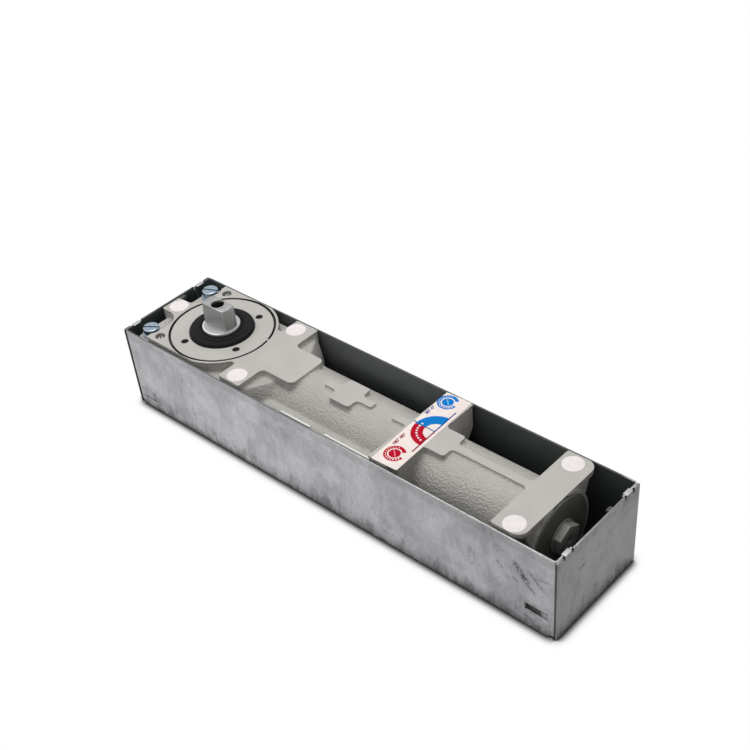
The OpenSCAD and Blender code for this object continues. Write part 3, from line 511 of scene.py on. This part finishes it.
def spindle_material():
    """Ground steel: grainy top, a painted highlight on the front of the ledge, brushed sides,
    painted shade in the tapped hole.
    """
    t = Tree("spindle_steel")
    mm, x, y, z = t.place()
    top_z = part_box("spindle")[1].z / MM
    ledge_z = named(RECORD["mounts"], "name", "spindle_nose")["pos_m"][2] / MM
    grain = t.grain(mm, 2.2, 3, 0.7)
    brush = t.noise(t.stretched(mm, 0.6, 0.6, 5.0), 1.0, 3)
    on_top = t.ramp(z, top_z - 0.3, top_z - 0.1)
    grainy = t.math("MULTIPLY", on_top, t.ramp(grain, 0.3, 0.7, -0.22, 0.22))
    level = t.math("ADD", grainy, t.ramp(brush, 0.3, 0.7, 0.93, 1.05))
    color = t.shaded(rgb(176, 177, 176), level)
    color = t.dimmed(color, t.ramp(z, ledge_z + 0.1, ledge_z + 0.4), 0.22)
    radius = t.from_axis(x, y)
    # Painted highlight on the front left of the ledge
    ledge = t.all_of(
        t.band(z, ledge_z - 0.5, ledge_z + 0.15, 0.05), t.ramp(radius, 11.2, 11.4),
        t.fall(y, -2.0, 0.0), t.fall(x, 7.0, 9.0),
    )
    color = t.mix(ledge, color, rgb(230, 231, 230))
    # Painted shade in the tapped hole
    hole_shade = t.all_of(t.band(radius, -1.0, 4.4, 0.1), t.fall(z, top_z - 2.0, top_z - 0.4))
    color = t.dimmed(color, hole_shade, 0.9)
    return t.surface(color, t.ramp(grain, 0.3, 0.7, 0.34, 0.5), 0.75, t.bump(grain, 0.25, 0.0003))


def metal_material(name, color, rough, metal=1.0, uneven=0.12):
    """Plain metal with a little grain in its colour, roughness and surface."""
    t = Tree(name)
    n = t.grain(t.place()[0], 0.8, 3, 0.6)
    color = t.shaded(color, t.ramp(n, 0.25, 0.75, 1 - uneven, 1 + uneven))
    rough = t.ramp(n, 0.25, 0.75, rough * 0.8, rough * 1.2)
    return t.surface(color, rough, metal, t.bump(n, 0.1, 0.0003))


def plain_material(name, color, rough, shine=0.5, size=0.5, bump=0.1):
    """Paint, rubber, foil or ink with a little cloud in its colour."""
    t = Tree(name)
    n = t.grain(t.place()[0], size)
    color = t.shaded(color, t.ramp(n, 0.3, 0.7, 0.96, 1.03))
    return t.surface(color, rough, 0.0, t.bump(n, bump, 0.0003), Specular_IOR_Level=shine)


def ink(name, color, rough=0.6, shine=0.1):
    return plain_material("ink_" + name, color, rough, shine)


MATERIALS = {
    "box_sheet": sheet_material(),
    "body_paint": cast_material(),
    "cap_paint": cap_material(),
    "seal_rubber": plain_material("seal_rubber", rgb(20, 21, 21), 0.6, 0.1),
    "zinc": metal_material("blue_zinc", rgb(150, 166, 178), 0.25),
    "screw_steel": metal_material("dark_screw", rgb(168, 174, 174), 0.5, 0.25),
    "spindle_steel": spindle_material(),
    "bearing_steel": metal_material("bearing_steel", rgb(190, 190, 194), 0.18, 1.0, 0.04),
    "piston_steel": metal_material("turned_steel", rgb(150, 150, 153), 0.35, 1.0, 0.08),
    "spring_steel": metal_material("spring_steel", rgb(84, 88, 94), 0.4, 0.9),
    "cap_black": plain_material("dark_phosphate", rgb(98, 98, 93), 0.55, 0.4),
    "brass": metal_material("brass", rgb(198, 170, 104), 0.28, 1.0, 0.06),
    "sticker": plain_material("sticker_white", rgb(238, 230, 231), 0.6, 0.2, 0.4, 0.3),
    "label": plain_material("label_white", rgb(244, 231, 226), 0.5, 0.2, 0.2, 0.05),
}
# Pieces that look different from the rest of their slot
OWN_MATERIALS = {
    "adjusting_screw": plain_material("adjuster_steel", rgb(138, 139, 134), 0.5, 0.4),
}
INKS = {
    "blue": ink("blue", rgb(0, 122, 204)),
    "red": ink("red", rgb(184, 0, 38)),
    "dark_blue": ink("dark_blue", rgb(14, 66, 140)),
    "dark_red": ink("dark_red", rgb(130, 10, 35)),
    "teal": ink("teal", rgb(8, 92, 140)),
    "white": ink("white", rgb(244, 231, 226), 0.5, 0.2),
    "pale_blue": ink("pale_blue", rgb(120, 188, 232)),
    "pale_red": ink("pale_red", rgb(236, 130, 145)),
}


# ---- Geometry helpers ----


def add_object(name, data):
    ob = bpy.data.objects.new(name, data)
    bpy.context.scene.collection.objects.link(ob)
    return ob


def from_bmesh(name, bm):
    mesh = bpy.data.meshes.new(name)
    bm.to_mesh(mesh)
    bm.free()
    return add_object(name, mesh)


def evaluated_mesh(ob):
    depsgraph = bpy.context.evaluated_depsgraph_get()
    return bpy.data.meshes.new_from_object(ob.evaluated_get(depsgraph))


def apply_modifiers(ob):
    mesh = evaluated_mesh(ob)
    ob.modifiers.clear()
    old, ob.data = ob.data, mesh
    bpy.data.meshes.remove(old)


def smooth_by_angle(ob, degrees):
    for p in ob.data.polygons:
        p.use_smooth = True
    ob.data.set_sharp_from_angle(angle=math.radians(degrees))


def finish_piece(ob, body, slot, nodes=(), material=None):
    """Gives a piece its look, from its slot or its own material, puts it on its body, and hides
    the CAD nodes it stands for.
    """
    ob.data.materials.clear()
    ob.data.materials.append(material or MATERIALS[slot])
    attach(ob, body)
    if nodes:
        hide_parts(*nodes)


def welded(name):
    """A CAD node's mesh as a new bmesh with shared corners."""
    bm = bmesh.new()
    bm.from_mesh(NODES[name].data)
    bmesh.ops.remove_doubles(bm, verts=bm.verts, dist=2e-6)
    return bm


def bevelled(node, piece, width):
    """A CAD node with its flat faces merged and its sharp edges eased."""
    bm = welded(node)
    bmesh.ops.dissolve_limit(
        bm, angle_limit=math.radians(0.3), verts=bm.verts, edges=bm.edges
    )
    ob = from_bmesh(piece, bm)
    mod = ob.modifiers.new("ease", "BEVEL")
    mod.width = width
    mod.segments = 2
    mod.limit_method = "ANGLE"
    mod.angle_limit = math.radians(30)
    mod.harden_normals = False
    apply_modifiers(ob)
    smooth_by_angle(ob, 40)
    return ob


def cylinder(foot, axis, radius, length, segments=128):
    """Solid cylinder from foot along axis, as an object to cut with."""
    bm = bmesh.new()
    bmesh.ops.create_cone(
        bm, cap_ends=True, segments=segments, radius1=radius, radius2=radius, depth=length
    )
    turn = Vector((0, 0, 1)).rotation_difference(Vector(axis)).to_matrix().to_4x4()
    shift = Matrix.Translation(Vector(foot) + Vector(axis) * (length / 2))
    bm.transform(shift @ turn)
    return from_bmesh("cutter", bm)


def block(lo, hi):
    """Solid box between two corners, as an object to cut with."""
    bm = bmesh.new()
    bmesh.ops.create_cube(bm, size=1.0)
    lo, hi = Vector(lo), Vector(hi)
    bm.transform(Matrix.Translation((lo + hi) / 2) @ Matrix.Diagonal((*(hi - lo), 1)))
    return from_bmesh("cutter", bm)


def cut(ob, cutters, how="DIFFERENCE"):
    """Cuts ob with each cutter in turn, and uses the cutters up."""
    for c in cutters:
        mod = ob.modifiers.new("cut", "BOOLEAN")
        mod.operation = how
        mod.solver = "MANIFOLD"
        mod.object = c
        apply_modifiers(ob)
        bpy.data.objects.remove(c)


def join(ob, other):
    """Adds the other object's surfaces to ob, and uses the other object up."""
    bm = bmesh.new()
    bm.from_mesh(ob.data)
    bm.from_mesh(other.data)
    mesh = bpy.data.meshes.new(ob.name)
    bm.to_mesh(mesh)
    bm.free()
    bpy.data.objects.remove(other)
    ob.data = mesh


# ---- Closer body as a sand casting with milled lands ----

UP, ALONG = (0, 0, 1), (1, 0, 0)
VOXEL = 0.0007
SMOOTH_STEPS = 8
# The lands and the barrel's face are raised before the softening and cut back after it
LIFT = 0.005
# Depth below the lands' tops that keeps the CAD's crisp outline
LAND_EDGE = 0.0013
# Corners this near to a face count as lying on it
TOUCH = 1e-5
# Corners beyond the body on every side
NEAR_CORNER, FAR_CORNER = Vector((-0.1, -0.1, -0.01)), Vector((0.4, 0.1, 0.1))


def softened_body():
    """The body with its bores filled, remeshed and smoothed like a sand casting."""
    bm = welded("closer_body")
    for v in bm.verts:
        if v.co.z > TOP - TOUCH:
            v.co.z += LIFT
        if v.co.x > FACE_X - TOUCH:
            v.co.x += LIFT
    ob = from_bmesh("closer_casting", bm)
    chamber_z, barrel_x = BODY_LO.z + 0.004, 0.01
    join(ob, cylinder((0, 0, chamber_z), UP, CAP_R + 0.001, TOP + LIFT - chamber_z))
    join(ob, cylinder((barrel_x, 0, AXIS_Z), ALONG, END_R - 0.002, FACE_X + LIFT - 0.012))
    mod = ob.modifiers.new("remesh", "REMESH")
    mod.mode = "VOXEL"
    mod.voxel_size = VOXEL
    mod = ob.modifiers.new("soften", "SMOOTH")
    mod.factor = 0.5
    mod.iterations = SMOOTH_STEPS
    apply_modifiers(ob)
    return ob


def bore_cutters():
    """Cutters that open the bores and scallops again, as crisp as in the CAD."""
    cutters = [
        # Cap's bore, groove round the cap, cam chamber, lower bearing's seat
        cylinder((0, 0, CAP_LO.z + 0.007), UP, CAP_R + 0.00005, 0.05),
        cylinder((0, 0, TOP - 0.0025), UP, CAP_R + GROOVE_W, 0.02, 192),
        cylinder((0, 0, 0.024), UP, 0.0298, 0.05),
        cylinder((0, 0, 0.012), UP, 0.02102, 0.05),
        # Barrel, end cap's thread, gap round the end cap's rim
        cylinder((0.0218, 0, AXIS_Z), ALONG, 0.018, 0.3),
        cylinder((END_LO.x, 0, AXIS_Z), ALONG, END_R - 0.00055, 0.05),
        cylinder((END_HI.x - 0.0026, 0, AXIS_Z), ALONG, END_R + 0.0005, 0.05),
    ]
    for side in (-1, 1):
        foot = (SCALLOP_X, side * SCALLOP_Y, TOP - LUG_DROP)
        cutters.append(cylinder(foot, UP, SCALLOP_R, 0.05, 96))
    # Holes of the small screws: node, distance between solids, foot, radius, length
    for node, reach, z, radius, length in (
        ("levelling_screws", 0.03, 0, 0.00325, 0.08),
        ("fixing_screws", 0.02, 0.03, 0.0033, 0.05),
        ("swing_valve", 0.03, 0.042, 0.004, 0.05),
        ("latch_valve", 0.03, 0.042, 0.004, 0.05),
    ):
        for c, _ in islands(node, reach):
            cutters.append(cylinder((c.x, c.y, z), UP, radius, length, 48))
    return cutters


def edge_lands(ob):
    """Hard edges all round the milled lands, and flat shading on their tops."""
    bm = bmesh.new()
    bm.from_mesh(ob.data)
    milled = {f for f in bm.faces if all(v.co.z > TOP - TOUCH for v in f.verts)}
    for e in bm.edges:
        if sum(f in milled for f in e.link_faces) == 1:
            e.smooth = False
    for f in milled:
        f.smooth = False
    bm.to_mesh(ob.data)
    bm.free()


def casting():
    """The softened body with crisp lands, open bores and milled flats."""
    ob = softened_body()
    above_top = block((NEAR_CORNER.x, NEAR_CORNER.y, TOP), FAR_CORNER)
    past_face = block((FACE_X, NEAR_CORNER.y, NEAR_CORNER.z), FAR_CORNER)
    bores = bore_cutters()
    crisp = from_bmesh("crisp_lands", welded("closer_body"))
    slab = block((NEAR_CORNER.x, NEAR_CORNER.y, TOP - LAND_EDGE), FAR_CORNER)
    cut(crisp, [slab], "INTERSECT")
    cut(ob, [above_top, past_face])
    cut(ob, [crisp], "UNION")
    cut(ob, bores)
    strips = [
        block((x0, -0.0259, STRIP_Z - 0.004), (x1, -0.0245, STRIP_Z)) for x0, x1 in STRIPS
    ]
    # Nick that stakes the cap in its groove
    nick = block((CAP_R - 0.001, 0.0079, TOP - 0.003), (CAP_R + 0.0004, 0.0095, TOP - 0.00005))
    cut(ob, strips + [nick], "UNION")
    smooth_by_angle(ob, 38)
    edge_lands(ob)
    finish_piece(ob, "housing", "body_paint", ["closer_body"])


casting()

# ---- Other pieces that keep their CAD shape with eased edges ----


def bend_anchors(ob):
    """Cuts each parted anchor tab free and sets it again, leaning into the box from its hinge."""
    windows, tabs = [], []
    half = SHEET_T / 2
    reach = half + 0.001
    overlap, shorter = 0.0003, 0.0003
    for hinge, way, height, middle, push in ANCHORS:
        free = hinge + way * ANCHOR_L
        z0, z1 = middle - height / 2, middle + height / 2
        for side in (-1, 1):
            wall = side * (BOX_HI.y - half)
            x0, x1 = sorted((hinge, free))
            windows.append(block((x0, wall - reach, z0), (x1, wall + reach, z1)))
            x0, x1 = sorted((hinge - way * overlap, free - way * ANCHOR_SLIT))
            tab = block((x0, wall - half, z0 + ANCHOR_SLIT), (x1, wall + half, z1 - ANCHOR_SLIT))
            for v in tab.data.vertices:
                if abs(v.co.x - free) < 0.002:
                    v.co.y -= side * push
                    v.co.x -= way * shorter
            tabs.append(tab)
    cut(ob, windows)
    cut(ob, tabs, "UNION")
    smooth_by_angle(ob, 40)


def chamfer_tops(ob):
    """The grub screws' ends are turned down, which leaves a dark gap round them."""
    keep, deep, reach = 0.76, 0.0018, 0.01
    for c, size in islands("levelling_screws", 0.03):
        for v in ob.data.vertices:
            flat = Vector((v.co.x - c.x, v.co.y - c.y))
            if flat.length < reach and v.co.z > c.z + size.z / 2 - deep:
                v.co.x = c.x + flat.x * keep
                v.co.y = c.y + flat.y * keep


def turn_front_screw(ob):
    """The two slots don't point the same way."""
    front = [v for v in ob.data.vertices if v.co.y < 0]
    middle = sum((v.co for v in front), Vector()) / len(front)
    turn = Matrix.Translation(middle) @ Matrix.Rotation(math.radians(60), 4, "Z")
    turn @= Matrix.Translation(-middle)
    for v in front:
        v.co = turn @ v.co


RESHAPED = {
    "box_trough": bend_anchors,
    "levelling_screws": chamfer_tops,
    "fixing_screws": turn_front_screw,
}

for node, ease, body, slot in (
    ("box_trough", 0.0002, "housing", "box_sheet"),
    ("near_end_plate", 0.0002, "housing", "box_sheet"),
    ("far_end_plate", 0.0002, "housing", "box_sheet"),
    ("bearing_cap", 0.0003, "housing", "cap_paint"),
    ("spindle", 0.0005, "spindle", "spindle_steel"),
    ("spindle_seal", 0.0006, "housing", "seal_rubber"),
    ("fixing_screws", 0.0003, "housing", "zinc"),
    ("fixing_washers", 0.0002, "housing", "zinc"),
    ("levelling_screws", 0.0003, "housing", "screw_steel"),
    ("end_cap", 0.0002, "housing", "cap_black"),
    ("adjusting_screw", 0.0004, "adjuster", "screw_steel"),
):
    piece = bevelled(node, node + "_eased", ease)
    if node in RESHAPED:
        RESHAPED[node](piece)
    finish_piece(piece, body, slot, [node], OWN_MATERIALS.get(node))


def spring_coil():
    """The spring's coil, smoothed and put on the spring seat's body, with a mesh of its own."""
    coil = from_bmesh("closing_coil", welded("closing_spring"))
    smooth_by_angle(coil, 60)
    finish_piece(coil, "spring_seat", "spring_steel", ["closing_spring"])
    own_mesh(coil)


spring_coil()

# The nodes that still show keep their CAD mesh and only get their look
for name, ob in NODES.items():
    if ob.hide_render:
        continue
    slot = named(RECORD["subparts"], "node", name)["material_slot"]
    ob.data.materials.clear()
    ob.data.materials.append(MATERIALS[slot])

# ---- Round stickers over the tapped holes, slightly wrinkled ----

RINGS, SPOKES = 9, 48
# Fineness of the wrinkles; radius and depth of the dent over the hole
WRINKLE = 320
DENT_R, DENT = 0.0021, 0.35


def sticker_top(r, p, k):
    """Height of a sticker's top as a part of its thickness, at place p and radius r."""
    wave = noise.noise((p + Vector((k * 3.1, 0, 0))) * WRINKLE) * 0.5 + 0.5
    return (0.45 + 0.55 * wave) * (1 - DENT * math.exp(-((r / DENT_R) ** 2)))


def sticker(k, centre, size):
    """Closed disc of rings and spokes with an uneven top."""
    radius, thick = size.x / 2, size.z
    base = centre.z - thick / 2
    bm = bmesh.new()
    tops, bottoms = [], []
    for top, rows in ((True, tops), (False, bottoms)):
        rows.append([bm.verts.new((centre.x, centre.y, base + thick * (0.55 if top else 0)))])
        for i in range(1, RINGS + 1):
            row = []
            for j in range(SPOKES):
                a = math.tau * j / SPOKES
                r = radius * i / RINGS
                p = Vector((r * math.cos(a), r * math.sin(a), 0))
                part = 0.35 if i == RINGS else sticker_top(r, p, k)
                z = base + (thick * part if top else 0.0)
                row.append(bm.verts.new((centre.x + p.x, centre.y + p.y, z)))
            rows.append(row)
    for rows, flip in ((tops, False), (bottoms, True)):
        for i in range(RINGS):
            for j in range(SPOKES):
                n = (j + 1) % SPOKES
                if i == 0:
                    loop = [rows[0][0], rows[1][j], rows[1][n]]
                else:
                    loop = [rows[i][j], rows[i + 1][j], rows[i + 1][n], rows[i][n]]
                bm.faces.new(reversed(loop) if flip else loop)
    for j in range(SPOKES):
        n = (j + 1) % SPOKES
        bm.faces.new([tops[-1][j], bottoms[-1][j], bottoms[-1][n], tops[-1][n]])
    ob = from_bmesh(f"sticker_{k}", bm)
    smooth_by_angle(ob, 50)
    return ob


for k, (centre, size) in enumerate(islands("hole_stickers", 0.02)):
    nodes = ["hole_stickers"] if k == 0 else []
    finish_piece(sticker(k, centre, size), "housing", "sticker", nodes)

# ---- Label with its two printed dials, in millimetres from the label's middle ----

# Thickness of one printed layer and its reach into the foil, in metres
PRINT, PRINT_SINK = 0.00003, 0.00001
# Dial: band's radii and angles in degrees, disc, cells along the band, slot in the disc
BAND_R, BAND_ANGLES = (4.3, 6.4), (38, 352)
DISC_R = 3.5
CELLS, CELL_R, CELL_FIRST, CELL_STEP = 14, 5.2, 100, 18
CELL_SIDE, CELL_GROWTH = 0.5, 0.03
SLOT_HALF, SLOT_W, SLOT_TURN = 2.7, 0.7, math.radians(135)
# Quarter rings of the opening angle: common corner, radii, dots
FAN_CORNER = (6.8, 2.5)
FAN_R = (6.8, 13.8)
DOTS, DOT_R, DOT_FIRST, DOT_STEP, DOT_SIZE = 8, 10.4, -9, 12.2, 0.7
LINES = (
    ("dark_blue", (6.6, 22.5), (6.6, 2.6), 0.8, "line_blue"),
    ("dark_red", (6.6, 2.4), (6.6, -18.0), 0.8, "line_red"),
    ("teal", (-9.0, 3.6), (6.8, 2.5), 0.7, "line_teal"),
)
NUMBER_SIZE, NUMBER_BOLD = 3.1, 0.1


def polar(at, r, a):
    """Point at radius r and angle a round at."""
    return (at[0] + r * math.cos(a), at[1] + r * math.sin(a))


class Print:
    """Flat printed shapes on the label, as thin solids."""

    def __init__(self):
        self.bm = bmesh.new()

    def prism(self, points, layer=0):
        """Solid on an outline; a higher layer stands over what is printed under it."""
        turn = Matrix.Rotation(LABEL_TURN, 2)
        rows = []
        for z in (LABEL_HI.z - PRINT_SINK, LABEL_HI.z + PRINT * (1 + layer)):
            row = []
            for p in points:
                q = turn @ Vector(p) * MM
                row.append(self.bm.verts.new((LABEL_AT.x + q.x, LABEL_AT.y + q.y, z)))
            rows.append(row)
        n = len(points)
        self.bm.faces.new(rows[1])
        self.bm.faces.new(reversed(rows[0]))
        for j in range(n):
            k = (j + 1) % n
            self.bm.faces.new([rows[0][j], rows[0][k], rows[1][k], rows[1][j]])

    def arc(self, at, radii, a0, a1):
        """Ring sector between two radii and two angles in degrees."""
        steps = max(3, int(abs(a1 - a0) / 5))
        angles = [math.radians(a0 + (a1 - a0) * k / steps) for k in range(steps + 1)]
        outer = [polar(at, radii[1], a) for a in angles]
        inner = [polar(at, radii[0], a) for a in reversed(angles)]
        self.prism(outer + inner)

    def disc(self, at, r, layer=0, steps=36):
        self.prism([polar(at, r, math.tau * k / steps) for k in range(steps)], layer)

    def bar(self, p, q, width):
        p, q = Vector(p), Vector(q)
        side = Vector((p.y - q.y, q.x - p.x)).normalized() * (width / 2)
        self.prism([p - side, q - side, q + side, p + side], 1)

    def line_through(self, at, half, turn, width):
        """Bar of this width through a middle, half as long to each side."""
        d, at = Vector((math.cos(turn), math.sin(turn))) * half, Vector(at)
        self.bar(at - d, at + d, width)

    def piece(self, name, ink_name):
        for f in self.bm.faces:
            f.smooth = False
        finish_piece(from_bmesh(name, self.bm), "housing", "label", (), INKS[ink_name])


def dial(ink_name, at):
    """Round dial: a ring with growing cells along it, and a slotted disc."""
    p = Print()
    p.arc(at, BAND_R, *BAND_ANGLES)
    p.disc(at, DISC_R)
    p.piece(f"dial_{ink_name}_ring", ink_name)
    p = Print()
    for k in range(CELLS):
        turn = math.radians(CELL_FIRST + k * CELL_STEP)
        side = CELL_SIDE + CELL_GROWTH * k
        p.line_through(polar(at, CELL_R, turn), side / 2, turn, side)
    p.piece(f"dial_{ink_name}_cells", "white")
    p = Print()
    p.line_through(at, SLOT_HALF, SLOT_TURN, SLOT_W)
    p.piece(f"dial_{ink_name}_slot", "pale_" + ink_name)


def fan(ink_name, a0, dots):
    """Quarter ring of the opening angle, with dots along it."""
    p = Print()
    p.arc(FAN_CORNER, FAN_R, a0, a0 + 90)
    p.piece("fan_" + ink_name, ink_name)
    if dots:
        p = Print()
        for k in range(DOTS):
            turn = math.radians(a0 + DOT_FIRST + k * DOT_STEP)
            p.disc(polar(FAN_CORNER, DOT_R, turn), DOT_SIZE, 1, 12)
        p.piece(f"fan_{ink_name}_dots", "white")


def number(text, at, ink_name, name):
    """Small plain numbers that read along the label."""
    curve = bpy.data.curves.new(name, "FONT")
    curve.body = text
    curve.size = NUMBER_SIZE * MM
    curve.extrude = PRINT
    curve.offset = NUMBER_BOLD * MM
    curve.align_x = "CENTER"
    curve.align_y = "CENTER"
    source = add_object(name + "_source", curve)
    mesh = evaluated_mesh(source)
    bpy.data.objects.remove(source)
    at = Matrix.Rotation(LABEL_TURN, 2) @ Vector(at) * MM
    mesh.transform(
        Matrix.Translation((LABEL_AT.x + at.x, LABEL_AT.y + at.y, LABEL_HI.z))
        @ Matrix.Rotation(LABEL_TURN + math.pi / 2, 4, "Z")
    )
    finish_piece(add_object(name, mesh), "housing", "label", (), INKS[ink_name])


def label():
    """The foil, turned to its place, and everything printed on it."""
    base = bevelled("dial_label", "label_foil", 0.00008)
    base.data.transform(
        Matrix.Translation(LABEL_AT) @ Matrix.Rotation(LABEL_TURN - LABEL_CAD_TURN, 4, "Z")
        @ Matrix.Translation(-LABEL_MIDDLE)
    )
    finish_piece(base, "housing", "label", ["dial_label"])
    dial("blue", (-3.0, 27.5))
    dial("red", (-0.5, -24.5))
    fan("blue", 90, False)
    fan("red", 180, True)
    for ink_name, p, q, width, name in LINES:
        line = Print()
        line.bar(p, q, width)
        line.piece(name, ink_name)
    number("80°-0°", (-7.3, 16.5), "dark_blue", "numbers_blue")
    number("180°-80°", (-6.0, -13.5), "dark_red", "numbers_red")


label()

# ---- Floor, light and camera ----

FLOOR_DROP = 0.0001
FLOOR_HALF = 6
# Strength of the world's light, the lamps' aim, and each lamp's place, side and watts
WORLD = 0.35
MIDDLE = (0.1155, 0, 0.03)
LAMPS = (
    ("key", (0.0, 0.1, 1.45), 0.9, 13.2),
    ("fill", (-0.5, -0.9, 1.1), 1.2, 3),
)
# The photo's camera: azimuth, elevation and roll in degrees, aim, distance, lens
CAMERA_TURNS = (45.83, 41.06, -6.02)
CAMERA_AIM = Vector((0.1317, -0.00467, 0.03))
CAMERA_DISTANCE = 0.72605
LENS_MM, SENSOR_MM, SHIFT_Y = 58.918, 36, 0.1
CLIP = (0.01, 50)


def floor():
    """White floor, seen plain white but for a painted contact shadow round the box, taken from
    ambient occlusion.
    """
    bm = bmesh.new()
    bmesh.ops.create_grid(bm, x_segments=1, y_segments=1, size=FLOOR_HALF)
    ob = from_bmesh("floor", bm)
    ob.location.z = CAD_BOX[0].z - FLOOR_DROP
    t = Tree("floor_white_painted_shadow")
    # Painted contact shadow: the floor's seen colour darkens with ambient occlusion
    wide = t.add("AmbientOcclusion", {"Distance": 0.009}, samples=16).outputs["AO"]
    near = t.add("AmbientOcclusion", {"Distance": 0.0075}, samples=16).outputs["AO"]
    level = t.math(
        "MULTIPLY", t.ramp(wide, 0.5, 1.0, 0.7, 1.0), t.ramp(near, 0.5, 0.92, 0.02, 1.0)
    )
    seen = t.add("Emission", {"Color": t.grey(level), "Strength": 1.0}).outputs[0]
    lit = t.add("BsdfDiffuse", {"Color": (0.8, 0.8, 0.8, 1)}).outputs[0]
    path = t.add("LightPath").outputs
    rays = t.math("MAXIMUM", path["Is Camera Ray"], path["Is Glossy Ray"])
    mix = t.add("MixShader", {0: rays, 1: lit, 2: seen}).outputs[0]
    t.links.new(mix, t.out.inputs[0])
    ob.data.materials.append(t.mat)


def world():
    """Soft white light. Seen directly, mirrored or through a piece, it's plain white."""
    w = bpy.data.worlds.new("studio")
    bpy.context.scene.world = w
    w.use_nodes = True
    nodes, links = w.node_tree.nodes, w.node_tree.links
    nodes.clear()
    out = nodes.new("ShaderNodeOutputWorld")
    soft = nodes.new("ShaderNodeBackground")
    soft.inputs[0].default_value = (1, 1, 1, 1)
    soft.inputs[1].default_value = WORLD
    path = nodes.new("ShaderNodeLightPath")
    seen = nodes.new("ShaderNodeBackground")
    seen.inputs[0].default_value = (1, 1, 1, 1)
    seen_by = path.outputs["Is Camera Ray"]
    for kind in ("Is Glossy Ray", "Is Transmission Ray"):
        rays = nodes.new("ShaderNodeMath")
        rays.operation = "MAXIMUM"
        links.new(seen_by, rays.inputs[0])
        links.new(path.outputs[kind], rays.inputs[1])
        seen_by = rays.outputs[0]
    mix = nodes.new("ShaderNodeMixShader")
    links.new(seen_by, mix.inputs[0])
    links.new(soft.outputs[0], mix.inputs[1])
    links.new(seen.outputs[0], mix.inputs[2])
    links.new(mix.outputs[0], out.inputs[0])


def lamp(name, at, side, watts):
    """Square area light that looks at MIDDLE."""
    data = bpy.data.lights.new(name, "AREA")
    data.shape = "RECTANGLE"
    data.size = data.size_y = side
    data.energy = watts
    ob = add_object(name, data)
    ob.location = at
    ob.rotation_mode = "QUATERNION"
    ob.rotation_quaternion = (Vector(MIDDLE) - Vector(at)).to_track_quat("-Z", "Y")


def camera():
    """Camera that sees the part as the photo does."""
    azimuth, elevation, roll = (math.radians(a) for a in CAMERA_TURNS)
    back = Vector((math.sin(azimuth) * math.cos(elevation),
                   -math.cos(azimuth) * math.cos(elevation), math.sin(elevation)))
    right = Vector((math.cos(azimuth), math.sin(azimuth), 0))
    up = back.cross(right)
    across = right * math.cos(roll) + up * math.sin(roll)
    upright = up * math.cos(roll) - right * math.sin(roll)
    data = bpy.data.cameras.new("camera")
    data.lens = LENS_MM
    data.sensor_width = SENSOR_MM
    data.shift_y = SHIFT_Y
    data.clip_start, data.clip_end = CLIP
    ob = add_object("camera", data)
    place = Matrix((across, upright, back)).transposed().to_4x4()
    place.translation = CAMERA_AIM + back * CAMERA_DISTANCE
    ob.matrix_world = place
    bpy.context.scene.camera = ob


floor()
world()
for name, at, side, watts in LAMPS:
    lamp(name, at, side, watts)
camera()

scene = bpy.context.scene
scene.view_settings.view_transform = "Standard"
